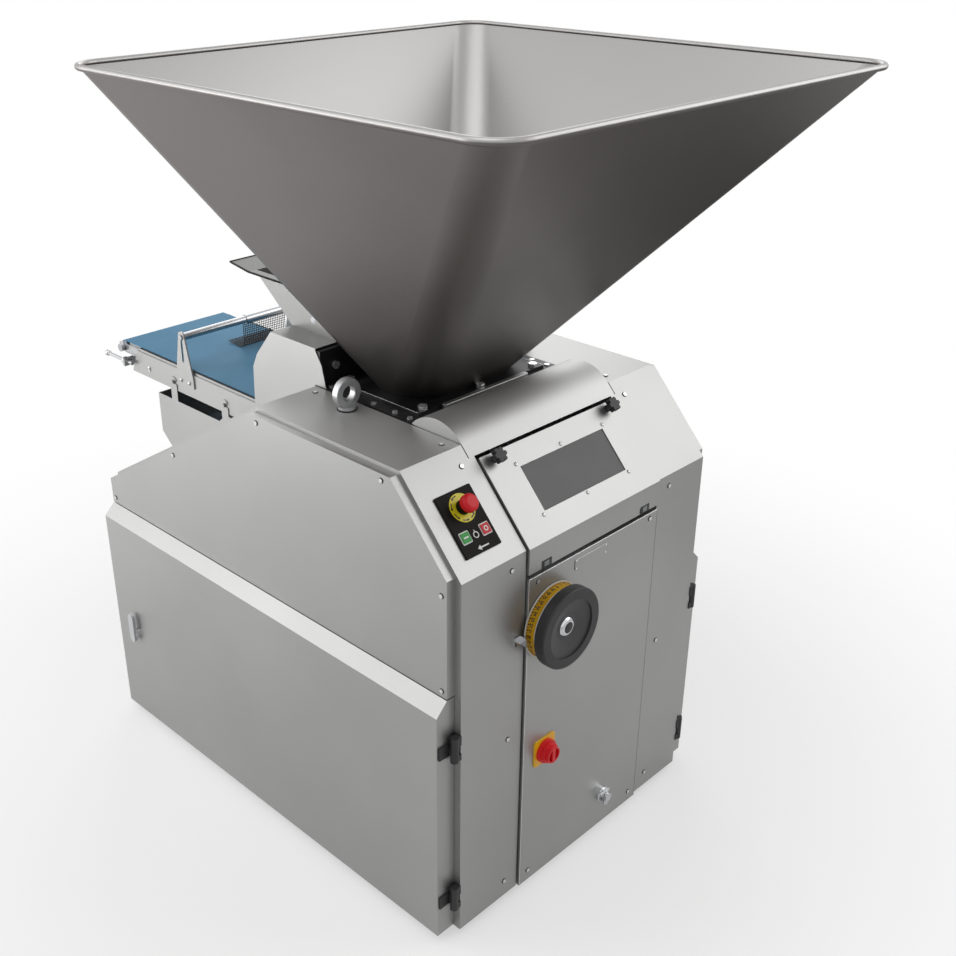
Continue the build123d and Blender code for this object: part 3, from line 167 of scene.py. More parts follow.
# Turned and milled steel of shafts, rollers, ram and drum: grey gloss under fine tool lines, which are 0.2 mm
# apart and are drawn 1.2 mm apart so that they show
machined_steel = finish("machined_steel", ("#9a9c9f", "#a9abae"), 30, (0.24, 0.36), 1.2, 0.008, (1, 40, 40),
                        Metallic=1.0)

# Grey enamel on the welded frame of square tube and the hinge blocks' faces, and the painted shade line right
# of the panel: even, with the shallow peel of sprayed paint
frame_paint = finish("grey_enamelled_tube", ("#7d8082", "#888b8d"), 160, (0.42, 0.52), 3.0, 0.03)

# Moulded black thermoplastic of the knobs and hub cap: charcoal, with a spark-eroded grain of 0.3 mm that is
# drawn at 1 mm so that it shows
moulded_black = finish("moulded_black_thermoplastic", ("#28282a", "#303032"), 60, (0.42, 0.54), 1.0, 0.02,
                       Specular_IOR_Level=0.4)

# Black powder coat on die-cast hinges and hinge blocks, and the painted shade in the sockets of the window's
# screws: dull with a close pebble
powder_black = finish("black_powder_coat", ("#1b1b1c", "#262628"), 15, (0.45, 0.60), 1.6, 0.05)

# Rubber of the levelling feet, seals and edging, of the washers under screw heads, which also stand as painted
# shade round the heads, and of the strips of painted shade at the belt's edges: black, dull, a little dusty
foot_rubber = finish("black_rubber_foot", ("#171717", "#282827"), 18, (0.70, 0.85), 2.0, 0.05,
                     Specular_IOR_Level=0.3)

# Grey tinted acrylic pane of the inspection window: flat and even, seen as one grey
pane_grey = finish("grey_acrylic_pane", ("#777777", "#7b7b7b"), 90, (0.46, 0.52), 12.0, 0.0,
                   Specular_IOR_Level=0.2)

# Printed polyester film on the control plate: brown black, softly satin
label_black = finish("black_polyester_label", ("#120f0d", "#181412"), 40, (0.40, 0.50), 1.0, 0.008,
                     Specular_IOR_Level=0.08)

# Red, green and yellow moulded polymer of the buttons, isolator and dial, and white and black printed marks:
# even, soft gloss
stop_red = finish("moulded_polymer_red", ("#df1f27", "#e82a32"), 25, (0.36, 0.46), 0.8, 0.006,
                  Specular_IOR_Level=0.3)
key_green = finish("moulded_polymer_green", ("#3f9a4c", "#4ba757"), 25, (0.38, 0.48), 0.8, 0.006,
                   Specular_IOR_Level=0.25)
key_red = finish("moulded_polymer_pale_red", ("#d03a40", "#dc464c"), 25, (0.38, 0.48), 0.8, 0.006,
                 Specular_IOR_Level=0.25)
sign_yellow = finish("moulded_polymer_lemon_yellow", ("#e9d81c", "#f2e22a"), 25, (0.32, 0.42), 0.8, 0.006)
plate_yellow = finish("moulded_polymer_yellow", ("#eab308", "#f2bd16"), 25, (0.30, 0.40), 0.8, 0.006)
dial_yellow = finish("moulded_polymer_golden_yellow", ("#c89600", "#d2a106"), 25, (0.42, 0.52), 0.8, 0.006,
                     Specular_IOR_Level=0.25)
print_white = finish("printed_white_ink", ("#eaeae7", "#f4f4f1"), 20, (0.42, 0.52), 0.8, 0.004)
print_black = finish("printed_black_ink", ("#191714", "#231f1b"), 20, (0.42, 0.52), 0.8, 0.004)

# Drawn stainless wire of the mesh mat: dark grey, small and dull
wire_steel = finish("drawn_stainless_wire", ("#2c2d2f", "#38393b"), 10, (0.40, 0.52), 1.0, 0.004, Metallic=0.6)

# Blue grey enamel on the cast geared motor: soft gloss over a cast swell
motor_paint = finish("grey_enamelled_motor", ("#5f676d", "#6a7278"), 70, (0.38, 0.50), 3.5, 0.05)

# Blue polyurethane belting: matt, with the print of its woven ply, which is 0.8 mm and is drawn at 3 mm so that
# it shows
PLY_SCALE, PLY_DEPTH = 1000 / 3 / 6.283, 0.00004
belt_blue = finish("blue_polyurethane_belting", ("#4d83a4", "#558bac"), 130, (0.52, 0.62), 3.0, 0.03,
                   Specular_IOR_Level=0.2)
tree = belt_blue.node_tree
spot = add(tree, "TexCoord").outputs["Object"]
warp = add(tree, "TexWave", {"Vector": spot, "Scale": PLY_SCALE}, bands_direction="X")
weft = add(tree, "TexWave", {"Vector": spot, "Scale": PLY_SCALE}, bands_direction="Y")
ply = add(tree, "Math", {0: warp.outputs[1], 1: weft.outputs[1]}, operation="MULTIPLY")
woven = add(tree, "Bump", {"Height": ply.outputs[0], "Distance": PLY_DEPTH, "Strength": 1.0})
tree.links.new(woven.outputs[0], tree.nodes["Principled BSDF"].inputs["Normal"])

finishes = {
    sheet_steel: "left_side_panel right_side_panel left_door right_door control_column right_front_cover"
    " right_top_cover back_panel front_panel inspection_cover head_cover conveyor_frame crumb_tray"
    " mat_brackets",
    lit_sheet_copy: "left_top_cover",
    rolled_steel: "front_hood",
    hopper_steel: "hopper",
    flour_hopper_sheet: "flour_hopper",
    flange_black: "hopper_flange",
    casting_black: "dough_chamber",
    bright_steel: "tension_screws mat_rod adjusting_screw adjusting_nut",
    screw_zinc: "panel_screws flange_bolts",
    chrome: "left_door_handle right_door_handle dial_pointer drain_tap",
    dull_zinc: "lifting_eyes",
    machined_steel: "main_ram knife_plate measuring_drum measuring_pistons flour_roller drive_roller end_roller"
    " ram_lever connecting_rod crank_disc",
    frame_paint: "base_frame",
    moulded_black: "left_star_knob right_star_knob",
    powder_black: "hinge_brackets left_door_hinges right_door_hinges",
    foot_rubber: "levelling_feet",
    pane_grey: "window_pane",
    label_black: "control_plate",
    stop_red: "emergency_stop_button isolator_handle",
    key_green: "start_button",
    key_red: "stop_button",
    dial_yellow: "dial_drum",
    plate_yellow: "isolator_plate",
    belt_blue: "conveyor_belt",
    wire_steel: "mesh_mat",
    motor_paint: "gear_motor",
}
for material, names in finishes.items():
    for name in names.split():
        nodes[name].data.materials.clear()
        nodes[name].data.materials.append(material)


def put(name, points, faces, material, body, smooth=30):
    """A piece from whole arrays of points and faces, turned outwards, smooth below that many degrees."""
    mesh = bpy.data.meshes.new(name)
    mesh.from_pydata(points.reshape(-1, 3).tolist(), [], faces)
    shell = bmesh.new()
    shell.from_mesh(mesh)
    bmesh.ops.recalc_face_normals(shell, faces=shell.faces)
    shell.to_mesh(mesh)
    shell.free()
    mesh.shade_smooth()
    mesh.set_sharp_from_angle(angle=math.radians(smooth))
    mesh.materials.append(material)
    piece = bpy.data.objects.new(name, mesh)
    bpy.context.scene.collection.objects.link(piece)
    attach(piece, body)
    return piece


def rings(copies, rows, around, ends, first=0):
    """Faces of copies shells, each rows loops of around points, which are numbered from first. Quads join loop
    to loop; then the first and last loops are capped, or with ends "joined" the last loop meets the first."""
    step = rows if ends == "joined" else rows - 1
    c, i, j = np.meshgrid(np.arange(copies), np.arange(step), np.arange(around), indexing="ij")
    base = first + c * rows * around
    low, high = base + i * around, base + (i + 1) % rows * around
    after = (j + 1) % around
    quads = np.stack([low + j, low + after, high + after, high + j], -1).reshape(-1, 4).tolist()
    if ends == "joined":
        return quads
    loop = first + np.arange(copies)[:, None] * rows * around + np.arange(around)
    return quads + loop[:, ::-1].tolist() + (loop + (rows - 1) * around).tolist()


def turned(radii, heights, around=24):
    """A profile of radii and heights turned about the axis that stands on the face: u is r cos a, v r sin a."""
    a = np.linspace(0, 2 * math.pi, around, endpoint=False)
    r, w = np.asarray(radii, float)[:, None], np.asarray(heights, float)[:, None]
    return r * np.cos(a), r * np.sin(a), w + 0 * a


def tablet(width, length, corner, insets, heights, steps=5):
    """A rounded rectangle carried up through the heights, drawn in by an inset at each: every loop is four
    quarter circles about the corner centres."""
    quarter = np.repeat(np.arange(4), steps)
    a = (quarter + np.tile(np.linspace(0, 1, steps), 4)) * math.pi / 2
    inset, w = np.asarray(insets, float)[:, None], np.asarray(heights, float)[:, None]
    r = np.maximum(corner - inset, 0.05)
    u = (width / 2 - inset - r) * np.where((quarter == 0) | (quarter == 3), 1, -1) + r * np.cos(a)
    v = (length / 2 - inset - r) * np.where(quarter < 2, 1, -1) + r * np.sin(a)
    return u, v, w + 0 * a


def trim(name, shape, spots, face, material, body, ends="capped"):
    """One piece of equal shapes, each moved to its spot (u, v) and laid on a face that turns (u, v, w) into
    points."""
    u, v, w = shape
    spots = np.asarray(spots, float)[:, :, None, None]
    points = face(spots[:, 0] + u, spots[:, 1] + v, w + 0 * spots[:, 0])
    return put(name, points, rings(len(spots), *u.shape, ends), material, body)


# Faces that carry trim: how far the cover and panel, control plate, keys and legend ring stand out from the
# column, how high the top covers, casting, flange and belt lie, and how far out the side panels are
PROUD, PLATE_FACE, KEY_FACE, RING_FACE = 6.0, 4.0, 7.0, 5.35
COVER_TOP, CASTING_TOP, FLANGE_TOP, BELT_TOP = 1052.4, 1054.0, 1061.0, 910.0
LEFT_SIDE, RIGHT_SIDE = 422.4, 411.4


def slope_skin(u, v, w):
    """The sloping face of the inspection cover, which stands proud of the column."""
    return on_slope(u, v, PROUD + w)


def plate_skin(u, v, w):
    """The face of the control plate."""
    return on_slope(u, v, PLATE_FACE + w)


def key_skin(u, v, w):
    """The face of the two keys."""
    return on_slope(u, v, KEY_FACE + w)


def panel_skin(u, v, w):
    """The face of the front panel: u is x and v is height."""
    return place(u, -PROUD - w, v)


def level_skin(height):
    """A level face at that height: u is x and v is d."""
    return lambda u, v, w: place(u, v, height + w)


def side_skin(hand, x):
    """An upright face x out from the middle, on the left with hand -1 and on the right with 1: u is d and v is
    height."""
    return lambda u, v, w: place(hand * (x + w), u, v)


# Screws round the inspection window, and hinge blocks with grey faces at the cover's lower edge
pan_head = turned((4.4, 4.4, 3.9, 2.8, 1.2), (-1.0, 1.2, 2.2, 2.8, 3.0))
window_spots = [(x, s) for s in (46.6, 162.8) for x in (-136, 3.5, 143)]
trim("window_screws", pan_head, window_spots, slope_skin, screw_zinc, "inspection_cover")
# Black discs on the screws' tops: painted shade in their sockets
socket = turned((1.5, 1.5, 1.2), (1.0, 3.05, 3.15), 6)
trim("window_socket_shades", socket, window_spots, slope_skin, powder_black, "inspection_cover")
hinge_spots = [(-162, 824), (165, 824)]
knuckle = tablet(32, 19, 1.0, (0.6, 0, 0, 0.6), (-6, -5.4, -0.4, 0.4), 3)
trim("cover_knuckles", knuckle, hinge_spots, panel_skin, powder_black, "inspection_cover")
knuckle_face = tablet(15, 11, 0.8, (0, 0, 0.3), (0.3, 0.7, 1.0), 3)
trim("cover_knuckle_faces", knuckle_face, hinge_spots, panel_skin, frame_paint, "inspection_cover")

# Folded edges of the front panel: painted highlights along its top and its left side, where the folds catch
# light, and a painted shade line on its right, where the seam to the cover lies in shade
# Painted highlight: pale strips where the panel's folded edges catch light
top_highlight = tablet(428, 1.8, 0.3, (0, 0, 0.2), (-0.2, 0.2, 0.4), 2)
trim("panel_top_highlight", top_highlight, [(0, 804.8)], panel_skin, screw_zinc, "cabinet")
left_highlight = tablet(1.5, 800, 0.3, (0, 0, 0.2), (-0.2, 0.2, 0.4), 2)
trim("panel_left_highlight", left_highlight, [(-213.9, 402)], panel_skin, screw_zinc, "cabinet")
# Painted shade: a dull grey line on the panel's right edge where the seam lies in shade
right_shade_line = tablet(1.0, 800, 0.3, (0, 0, 0.2), (-0.2, 0.2, 0.4), 2)
trim("panel_right_shade_line", right_shade_line, [(214.2, 402)], panel_skin, frame_paint, "cabinet")

# Black rubber washers under the screw heads of the covers and panels, also painted shade: the dark outline that
# each head's shadow draws round it
shade_washer = turned((4.4, 6.0, 6.0, 4.4), (-0.1, -0.1, 0.6, 0.6), 20)
side_spots = [(31.6, 627), (31.6, 844.4), (192.3, 1030.4), (579.5, 1030.4), (917.75, 844.7), (1214, 627)]
SCREW_LINES = (-260.5, 260.5)
front_spots = [(x, h) for x in SCREW_LINES for h in (42, 436.2, 844.4)]
slope_spots = [(x, 204) for x in SCREW_LINES]
top_spots = [(x, d) for x in SCREW_LINES for d in (192.3, 579.5)]
panel_spots = [(x, h) for x in (-187, 187) for h in (28, 792)]
for name, spots, skin in (("left_screw_shade_rings", side_spots, side_skin(-1, LEFT_SIDE)),
                          ("right_screw_shade_rings", side_spots, side_skin(1, RIGHT_SIDE)),
                          ("front_screw_shade_rings", front_spots, lambda u, v, w: place(u, -w, v)),
                          ("slope_screw_shade_rings", slope_spots, on_slope),
                          ("top_screw_shade_rings", top_spots, level_skin(COVER_TOP)),
                          ("panel_screw_shade_rings", panel_spots, panel_skin)):
    trim(name, shade_washer, spots, skin, foot_rubber, "cabinet", "joined")

# Bare plate with four rivets below the cover
plate_sheet = tablet(106, 24, 1.5, (0, 0, 0.4), (-0.2, 0.9, 1.3), 3)
trim("bare_plate", plate_sheet, [(-18, 780)], panel_skin, sheet_steel, "cabinet")
rivet = turned((2.4, 2.4, 1.9, 0.8), (0.8, 1.9, 2.6, 3.0), 14)
rivet_spots = [(x, h) for x in (-67, 31) for h in (771, 789)]
trim("plate_rivets", rivet, rivet_spots, panel_skin, screw_zinc, "cabinet")

# Yellow ring round the emergency stop with five turning arrows, frames and marks of the keys
STOP_X, STOP_S, RING_MID = -312.6, 130, 26.0
START_KEY, STOP_KEY = (-341.6, 75), (-287, 75)
legend = turned((15.3, 30, 30, 29.4, 15.3), (-0.2, -0.2, 1.0, 1.4, 1.4), 48)
trim("stop_legend_ring", legend, [(STOP_X, STOP_S)], plate_skin, sign_yellow, "cabinet",
     "joined")


def arrow_skin(u, v, w):
    """The face of the legend ring bent round its middle: u runs along its middle circle and v outward."""
    a = u / RING_MID
    return on_slope(STOP_X + (RING_MID + v) * np.cos(a), STOP_S + (RING_MID + v) * np.sin(a), RING_FACE + w)


def arrow(length, shaft, head):
    """A flat arrow as a strip of stations along u, each a loop of four points: half width v stays the shaft's,
    steps out to the head's, then runs to the tip."""
    neck = length / 2 - head * 1.6
    u = np.array([*np.linspace(-length / 2, neck, 8), neck + 0.01, length / 2])[:, None]
    half = np.array([shaft / 2] * 8 + [head, 0.05])[:, None]
    return u + np.zeros(4), half * np.array([-1, 1, 1, -1]), np.array([0, 0, 0.2, 0.2]) + 0 * u


turns = RING_MID * np.radians([112, 160, 208, 256, 304])
trim("legend_arrows", arrow(16, 2.3, 3.2), [(u, 0) for u in turns], arrow_skin, print_black, "cabinet")
frame_shape = tablet(25, 25, 2.4, (2.3, 0, 0, 2.3), (0, 0, 0.7, 0.7), 4)
trim("key_frames", frame_shape, [START_KEY, STOP_KEY], plate_skin, print_white, "cabinet",
     "joined")
stroke = tablet(12, 3.2, 0.8, (0, 0, 0.1), (-0.2, 0.2, 0.3), 3)
trim("start_mark", stroke, [START_KEY], key_skin, print_white, "start_button")
hoop = turned((3.2, 5.4, 5.4, 3.2), (-0.2, -0.2, 0.3, 0.3), 28)
trim("stop_mark", hoop, [STOP_KEY], key_skin, print_white, "stop_button", "joined")
hoop = turned((4.9, 6.9, 6.9, 4.9), (-0.2, -0.2, 0.25, 0.25), 28)
trim("ready_mark", hoop, [(-314.3, 72)], plate_skin, print_white, "cabinet", "joined")
stroke = tablet(1.8, 4.2, 0.4, (0, 0), (-0.2, 0.25), 3)
trim("ready_tick", stroke, [(-314.3, 80.6)], plate_skin, print_white, "cabinet")
u, v, w = arrow(30, 3.0, 5.5)
trim("way_arrow", (-u, v, w), [(-312, 46)], plate_skin, print_white, "cabinet")

# Dial: golden band between a pale back flange and a pale front edge, told apart by distance from the wheel's
# axis and by depth; then its scale wrapped on the drum, forty numbers with a long tick at each and a short one
# between
WHEEL_X, WHEEL_H, DIAL_R, DIAL_BACK, DIAL_FRONT, PALE_EDGE = -141.0, 682.0, 82.0, -8.0, -34.0, 3.5
SCALE, NUMBER_LINE = 40, 14.6
tree = dial_yellow.node_tree
shader = tree.nodes["Principled BSDF"]
golden = shader.inputs["Base Color"].links[0].from_socket
spot = add(tree, "TexCoord").outputs["Object"]
away = add(tree, "VectorMath", {0: spot, 1: tuple(place(WHEEL_X, 0, WHEEL_H))}, operation="SUBTRACT")
depth = add(tree, "SeparateXYZ", {0: spot}).outputs["Y"]
edge_y = float(place(0, DIAL_FRONT + PALE_EDGE, 0)[1])
front = add(tree, "Math", {0: depth, 1: edge_y}, operation="LESS_THAN")
across = add(tree, "VectorMath", {0: away.outputs[0], 1: (1, 0, 1)}, operation="MULTIPLY")
radius = add(tree, "VectorMath", {0: across.outputs[0]}, operation="LENGTH")
rim = add(tree, "Math", {0: radius.outputs["Value"], 1: (DIAL_R + 1.0) / 1000}, operation="GREATER_THAN")
paler = add(tree, "Math", {0: front.outputs[0], 1: rim.outputs[0]}, operation="MAXIMUM")
banded = add(tree, "Mix", {0: paler.outputs[0], 6: golden, 7: colour("#dcdbd6")}, data_type="RGBA")
tree.links.new(banded.outputs[2], shader.inputs["Base Color"])


def dial_skin(u, v, w):
    """The drum's round face: u runs round it from the top, v forward from its back edge, w outward."""
    a = u / DIAL_R
    return place(WHEEL_X + (DIAL_R + w) * np.sin(a), DIAL_BACK - v, WHEEL_H + (DIAL_R + w) * np.cos(a))


round_step = 2 * math.pi * DIAL_R / SCALE
short = [((i + 0.5) * round_step, 4.0) for i in range(SCALE)]
long = [(i * round_step, 4.6) for i in range(SCALE)]
tick = tablet(2.4, 3.4, 0.3, (0, 0), (-0.2, 0.15), 2)
trim("dial_ticks", tick, short, dial_skin, print_black, "handwheel")
tick = tablet(3.0, 4.6, 0.3, (0, 0), (-0.2, 0.15), 2)
trim("dial_long_ticks", tick, long, dial_skin, print_black, "handwheel")


def figures(name, words, size):
    """Numbers set flat in mm by Blender's own font, thin solids, then wrapped on the drum at their places."""
    points, faces, count = [], [], 0
    for i, word in enumerate(words):
        curve = bpy.data.curves.new(name, "FONT")
        curve.body, curve.size, curve.align_x, curve.extrude = word, size, "CENTER", 0.15
        curve.resolution_u, curve.offset = 3, 0.35
        flat = bpy.data.objects.new(name, curve)
        bpy.context.scene.collection.objects.link(flat)
        made = bpy.data.meshes.new_from_object(flat.evaluated_get(bpy.context.evaluated_depsgraph_get()))
        xyz = np.empty(len(made.vertices) * 3)
        made.vertices.foreach_get("co", xyz)
        x, y, z = xyz.reshape(-1, 3).T
        points.append(dial_skin(i * round_step - x, NUMBER_LINE - y, z))
        corners = np.empty(len(made.loops), np.int32)
        made.loops.foreach_get("vertex_index", corners)
        starts = np.empty(len(made.polygons), np.int32)
        made.polygons.foreach_get("loop_start", starts)
        faces += [face.tolist() for face in np.split(corners + count, starts[1:])]
        count += len(made.vertices)
        bpy.data.objects.remove(flat)
    return put(name, np.concatenate(points), faces, print_black, "handwheel")


figures("dial_numbers", [str(n) for n in range(SCALE)], 9.6)

# Moulded black of the handwheel: its dish, within DISH_R of the axis, is a paler grey than the rim
DISH_R = 66.0
wheel_black = finish("moulded_black_handwheel", ("#28282a", "#303032"), 60, (0.42, 0.54), 1.0, 0.02,
                     Specular_IOR_Level=0.4)
tree = wheel_black.node_tree
shader = tree.nodes["Principled BSDF"]
rim_tone = shader.inputs["Base Color"].links[0].from_socket
spot = add(tree, "TexCoord").outputs["Object"]
away = add(tree, "VectorMath", {0: spot, 1: tuple(place(WHEEL_X, 0, WHEEL_H))}, operation="SUBTRACT")
across = add(tree, "VectorMath", {0: away.outputs[0], 1: (1, 0, 1)}, operation="MULTIPLY")
reach = add(tree, "VectorMath", {0: across.outputs[0]}, operation="LENGTH")
ends = {"From Min": (DISH_R - 0.5) / 1000, "From Max": (DISH_R + 0.5) / 1000}
rim = add(tree, "MapRange", {"Value": reach.outputs["Value"], **ends})
tone = add(tree, "Mix", {0: rim.outputs[0], 6: colour("#464648"), 7: rim_tone}, data_type="RGBA")
tree.links.new(tone.outputs[2], shader.inputs["Base Color"])
nodes["handwheel"].data.materials.clear()
nodes["handwheel"].data.materials.append(wheel_black)

# Chrome ring and black cap in the handwheel's hub
HUB_FACE = -47.0
hub_spot = [(WHEEL_X, WHEEL_H)]


def hub_skin(u, v, w):
    """The face of the handwheel's hub: u is x and v is height."""
    return place(u, HUB_FACE - w, v)


hub_ring = turned((12.5, 22, 22, 19.5, 15.5, 12.5), (-0.5, -0.5, 1.6, 4.8, 6.6, 6.6), 40)
trim("hub_ring", hub_ring, hub_spot, hub_skin, chrome, "handwheel", "joined")
hub_cap = turned((12.6, 12.6, 11.4, 8.0, 3.0), (0.0, 6.8, 7.6, 8.2, 8.6), 32)
trim("hub_cap", hub_cap, hub_spot, hub_skin, moulded_black, "handwheel")

# Chrome rosette behind the drain tap
rosette = turned((19, 19, 17.8, 15.5, 15.0, 9.0), (-0.3, 7.5, 9.0, 9.0, 7.4, 7.0), 36)
trim("tap_rosette", rosette, [(75, 92)], panel_skin, chrome, "cabinet")

# Light seat bar on the casting between hood and flange
bar = tablet(262, 13, 3.0, (0, 0, 1.0), (-0.3, 9.0, 10.0), 4)
trim("seat_bar", bar, [(0, 315)], level_skin(CASTING_TOP), sheet_steel, "cabinet")

# Painted highlights in bright steel along the flange's top edges, where they catch light, and black rubber
# rings under the lifting eyes
edge_highlight = tablet(1.6, 250, 0.3, (0, 0, 0.2), (-0.2, 0.3, 0.5), 2)
edge_highlight_spots = [(-197.0, 448.5), (197.0, 448.5)]
trim("flange_edge_highlights", edge_highlight, edge_highlight_spots, level_skin(FLANGE_TOP), bright_steel, "cabinet")
eye_ring = turned((20.1, 22.0, 22.0, 20.1), (-0.1, -0.1, 2.2, 2.2), 32)
eye_spots = [(-272, 461), (272, 461)]
trim("eye_seals", eye_ring, eye_spots, level_skin(COVER_TOP), foot_rubber, "cabinet", "joined")

# Black rubber edging round the flour hopper's rim: a bead along the side lips and the flared back, as loops of
# points about a line from corner to corner, each across the line's run
RIM_X, STATIONS, SIDES, BEAD = 188, 61, 10, 2.4
one_side = np.array([[-RIM_X, 677, 1241], [-RIM_X, 893, 1241], [-RIM_X, 962, 1251]], float)
corners = np.concatenate([one_side, one_side[::-1] * (-1, 1, 1)])
along = np.linspace(0, len(corners) - 1, STATIONS)
line = np.stack([np.interp(along, np.arange(len(corners)), corners[:, k]) for k in range(3)], -1)
run = np.gradient(line, axis=0)
run /= np.linalg.norm(run, axis=1, keepdims=True)
level_side = np.cross(run, (0, 0, 1))
level_side /= np.linalg.norm(level_side, axis=1, keepdims=True)
a = np.linspace(0, 2 * math.pi, SIDES, endpoint=False)[None, :, None]
loops = np.cos(a) * level_side[:, None] + np.sin(a) * np.cross(level_side, run)[:, None]
bead = place(*np.moveaxis(line[:, None] + BEAD * loops, -1, 0))
put("flour_rim_edging", bead, rings(1, STATIONS, SIDES, "capped"), foot_rubber, "cabinet")

# Black rubber strips along the belt's edges: painted shade, the dark line of shadow in the gaps between the
# belt's edges and the rails
shade_strip = tablet(6.0, 820, 0.6, (0, 0, 0.4), (-0.2, 0.9, 1.3), 3)
shade_strip_spots = [(-170.2, 1030), (170.2, 1030)]
trim("belt_edge_shade_strips", shade_strip, shade_strip_spots, level_skin(BELT_TOP), foot_rubber, "cabinet")

# Bolt heads on the mat brackets and along the rails
bolt_head = turned((5.2, 5.2, 4.6, 3.0, 1.2), (-0.3, 1.8, 3.0, 3.8, 4.0))
for word, hand in (("left", -1), ("right", 1)):
    for kind, spots, face_x in (("bracket", [(1197, 878), (1233, 878)], 181.5), ("rail", [(1392, 868)], 177.5)):
        trim(f"{word}_{kind}_bolts", bolt_head, spots, side_skin(hand, face_x), bright_steel, "cabinet")

# Woven wire mat: a sheet clamped in a bright sleeve round the rod, which hangs, bends and lies along the belt
ROD_D, ROD_H, WRAP, BEND, LIE_H, MAT_END = 1215.0, 1000.0, 11.3, 23.0, 914.0, 1299.0
lengths = np.array([ROD_H - LIE_H - BEND, BEND * math.pi / 2, MAT_END - ROD_D - WRAP - BEND])
MAT_LONG, MAT_WIDE, MAT_X, PITCH, WIRE = float(lengths.sum()), 142.0, 20.8, 5.8, 0.9
WIRE_SIDES, CRIMP, RISE = 6, 0.35, 5.0
tube = turned((10.3, 12.3, 12.3, 10.3), (0, 0, MAT_WIDE, MAT_WIDE), 36)
sleeve = trim("mat_sleeve", tube, [(ROD_D, ROD_H)], side_skin(1, MAT_X), bright_steel, "mesh_mat",
              "joined")


def mat_skin(x, along, off):
    """Points of the mat: along counts from its edge in the sleeve, through the straight fall, a quarter bend
    and the part that lies on the belt, rising as the square of the way to its end; off is outward from the
    rod's side."""
    ends = np.cumsum(lengths)
    fall = np.clip(along, 0, lengths[0])
    turn = np.clip(along - ends[0], 0, lengths[1]) / BEND
    lie = np.clip(along - ends[1], 0, None)
    d = ROD_D + WRAP + BEND * (1 - np.cos(turn)) + lie
    h = ROD_H - fall - BEND * np.sin(turn) + RISE * (lie / lengths[2]) ** 2
    return place(x, d + off * np.cos(turn), h + off * np.sin(turn))


def wires(path, bend_out):
    """Tubes of the wire's radius: round each path, given as (x, along) by stations, a loop lies across the
    path's run, lifted by bend_out so that warp and weft pass over and under each other."""
    x, along, across = path
    a = np.linspace(0, 2 * math.pi, WIRE_SIDES, endpoint=False)
    flat, lift = WIRE * np.cos(a), WIRE * np.sin(a) + bend_out[..., None]
    return mat_skin(x[..., None] + flat * across[0], along[..., None] + flat * across[1], lift)


columns, lines = int(MAT_WIDE / PITCH), int(MAT_LONG / PITCH)
xs = np.linspace(MAT_X + WIRE, MAT_X + MAT_WIDE - WIRE, columns)
rows = np.linspace(WIRE, MAT_LONG - WIRE, lines)
fine_rows = np.linspace(0, MAT_LONG, 2 * lines + 1)
fine_xs = np.linspace(MAT_X, MAT_X + MAT_WIDE, 2 * columns + 1)
warp_x, warp_s = np.meshgrid(xs, fine_rows, indexing="ij")
weft_s, weft_x = np.meshgrid(rows, fine_xs, indexing="ij")
down_wave = np.cos(math.pi * np.arange(2 * lines + 1) / 2 - math.pi / 4)
cross_wave = np.cos(math.pi * np.arange(2 * columns + 1) / 2 - math.pi / 4)
over = np.where(np.arange(columns) % 2, 1, -1)[:, None] * down_wave
under = np.where(np.arange(lines) % 2, -1, 1)[:, None] * cross_wave
warp = wires((warp_x, warp_s, (1, 0)), CRIMP * over)
weft = wires((weft_x, weft_s, (0, 1)), CRIMP * under)
warp_faces = rings(columns, 2 * lines + 1, WIRE_SIDES, "capped")
weft_faces = rings(lines, 2 * columns + 1, WIRE_SIDES, "capped", warp.size // 3)
mat_points = np.concatenate([warp.reshape(-1, 3), weft.reshape(-1, 3)])
mat = put("woven_wire_mat", mat_points, warp_faces + weft_faces, wire_steel, "mesh_mat", smooth=60)
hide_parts("mesh_mat")

# Studio: pale floor that turns white far off, even sky, and five broad lamps round the machine. Metal mirrors
# the floor as white behind the machine and mostly as it is lit in front
world = bpy.data.worlds.new("studio")
bpy.context.scene.world = world
world.use_nodes = True
tree = world.node_tree
path = add(tree, "LightPath")
seen = add(tree, "Math", {0: path.outputs["Is Camera Ray"], 1: path.outputs["Is Glossy Ray"]},
           operation="MAXIMUM")
seen = add(tree, "Math", {0: seen.outputs[0], 1: path.outputs["Is Transmission Ray"]}, operation="MAXIMUM")
level = add(tree, "MapRange", {"Value": seen.outputs[0], "To Min": 0.30, "To Max": 1.0})
tree.links.new(level.outputs[0], tree.nodes["Background"].inputs["Strength"])
tree.nodes["Background"].inputs["Color"].default_value = colour("#ffffff")


def lamp(name, at, aim, size, watts):
    """A square area lamp of size metres at one point, turned towards another."""
    data = bpy.data.lights.new(name, "AREA")
    data.size = size
    data.energy = watts
    lit = bpy.data.objects.new(name, data)
    lit.visible_camera = False
    lit.location = at
    way = np.asarray(aim, float) - at
    tip, turn = math.atan2(math.hypot(way[0], way[1]), -way[2]), math.atan2(way[1], way[0]) - math.pi / 2
    lit.rotation_euler = (tip, 0.0, turn)
    bpy.context.scene.collection.objects.link(lit)


lamp("overhead", (-1.5, -0.5, 4.8), (0, 0, 0.8), 3.0, 45)
lamp("front_right", (1.9, -2.1, 2.6), (0, -0.5, 0.9), 2.2, 29)
lamp("back_right", (2.8, 2.8, 3.2), (0, 0, 0.9), 3.0, 44)
lamp("back_left", (-2.8, 2.6, 2.9), (0, 0, 0.9), 3.0, 42)
lamp("left", (-3.2, 2.8, 0.9), (-0.4, 0.3, 0.7), 1.8, 54)

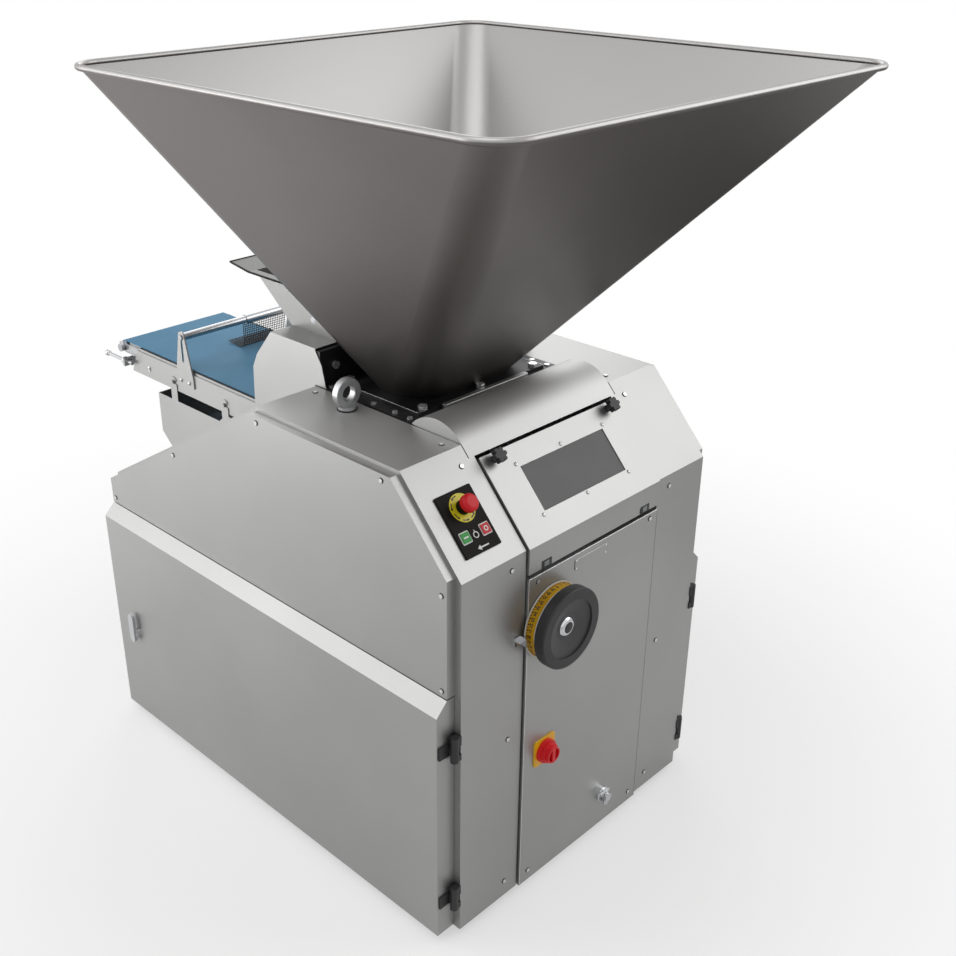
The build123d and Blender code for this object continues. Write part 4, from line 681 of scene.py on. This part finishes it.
floor = bpy.data.meshes.new("floor")
REACH = 60
floor_corners = [(-REACH, -REACH, 0), (REACH, -REACH, 0), (REACH, REACH, 0), (-REACH, REACH, 0)]
floor.from_pydata(floor_corners, [], [(0, 1, 2, 3)])
stand = bpy.data.objects.new("floor", floor)
bpy.context.scene.collection.objects.link(stand)
pale = finish("pale_studio_floor", ("#f8f8f8", "#fbfbfb"), 900, (0.85, 0.95), 30, 0.0)
tree = pale.node_tree
shader = tree.nodes["Principled BSDF"]
spot = add(tree, "TexCoord").outputs["Object"]
path = add(tree, "LightPath")
straight, through, mirrored = (path.outputs[f"Is {kind} Ray"] for kind in ("Camera", "Transmission", "Glossy"))
clear = add(tree, "Math", {0: straight, 1: through}, operation="MAXIMUM").outputs[0]
shares = []
for ray, measure, point, near, end, least in ((clear, "DISTANCE", (0, 0, 0), 0.7, 2.4, 0.5),
                                              (mirrored, "DOT_PRODUCT", (0, 1, 0), 0.8, 1.6, 0.2)):
    apart = add(tree, "VectorMath", {0: spot, 1: point}, operation=measure)
    ends = {"From Min": near, "From Max": end, "To Min": least}
    far = add(tree, "MapRange", {"Value": apart.outputs["Value"], **ends}, interpolation_type="SMOOTHSTEP")
    shares.append(add(tree, "Math", {0: far.outputs[0], 1: ray}, operation="MULTIPLY").outputs[0])
white = add(tree, "Emission", {"Color": colour("#ffffff"), "Strength": 1.0})
share = add(tree, "Math", {0: shares[0], 1: shares[1]}, operation="MAXIMUM")
both = add(tree, "MixShader", {0: share.outputs[0], 1: shader.outputs[0], 2: white.outputs[0]})
tree.links.new(both.outputs[0], tree.nodes["Material Output"].inputs["Surface"])
floor.materials.append(pale)

# Dark card laid on the floor at the right, seen only where metal mirrors it, above all the hopper's front
LIFT = 0.004
card_mesh = bpy.data.meshes.new("card")
card_corners = [(1.45, -1.2, LIFT), (3.6, -1.2, LIFT), (3.6, 0.2, LIFT), (1.45, 0.2, LIFT)]
card_mesh.from_pydata(card_corners, [], [(0, 1, 2, 3)])
card = bpy.data.objects.new("card", card_mesh)
card.visible_camera = card.visible_diffuse = card.visible_shadow = False
bpy.context.scene.collection.objects.link(card)
card_mesh.materials.append(finish("matt_black_card", ("#141414", "#181818"), 200, (0.90, 0.95), 20, 0.0))

# Camera at the photograph's angle: focal length and middle in pixels of a picture that many pixels wide
PIXELS, FOCAL, MIDDLE_X, MIDDLE_Y, SENSOR = 956, 1214.1, 449.7, 475.2, 36
LOOK_DOWN, LOOK_RIGHT = 26.05, 45.39
camera = bpy.data.objects.new("camera", bpy.data.cameras.new("camera"))
camera.data.lens = FOCAL / PIXELS * SENSOR
camera.data.shift_x = (PIXELS / 2 - MIDDLE_X) / PIXELS
camera.data.shift_y = (MIDDLE_Y - PIXELS / 2) / PIXELS
camera.location = place(-1797.8, -1346.9, 2048.7)
camera.rotation_euler = (math.radians(90 - LOOK_DOWN), 0.0, math.radians(-LOOK_RIGHT))
camera.data.clip_end = 200
bpy.context.scene.collection.objects.link(camera)
bpy.context.scene.camera = camera
bpy.context.scene.view_settings.view_transform = "Standard"
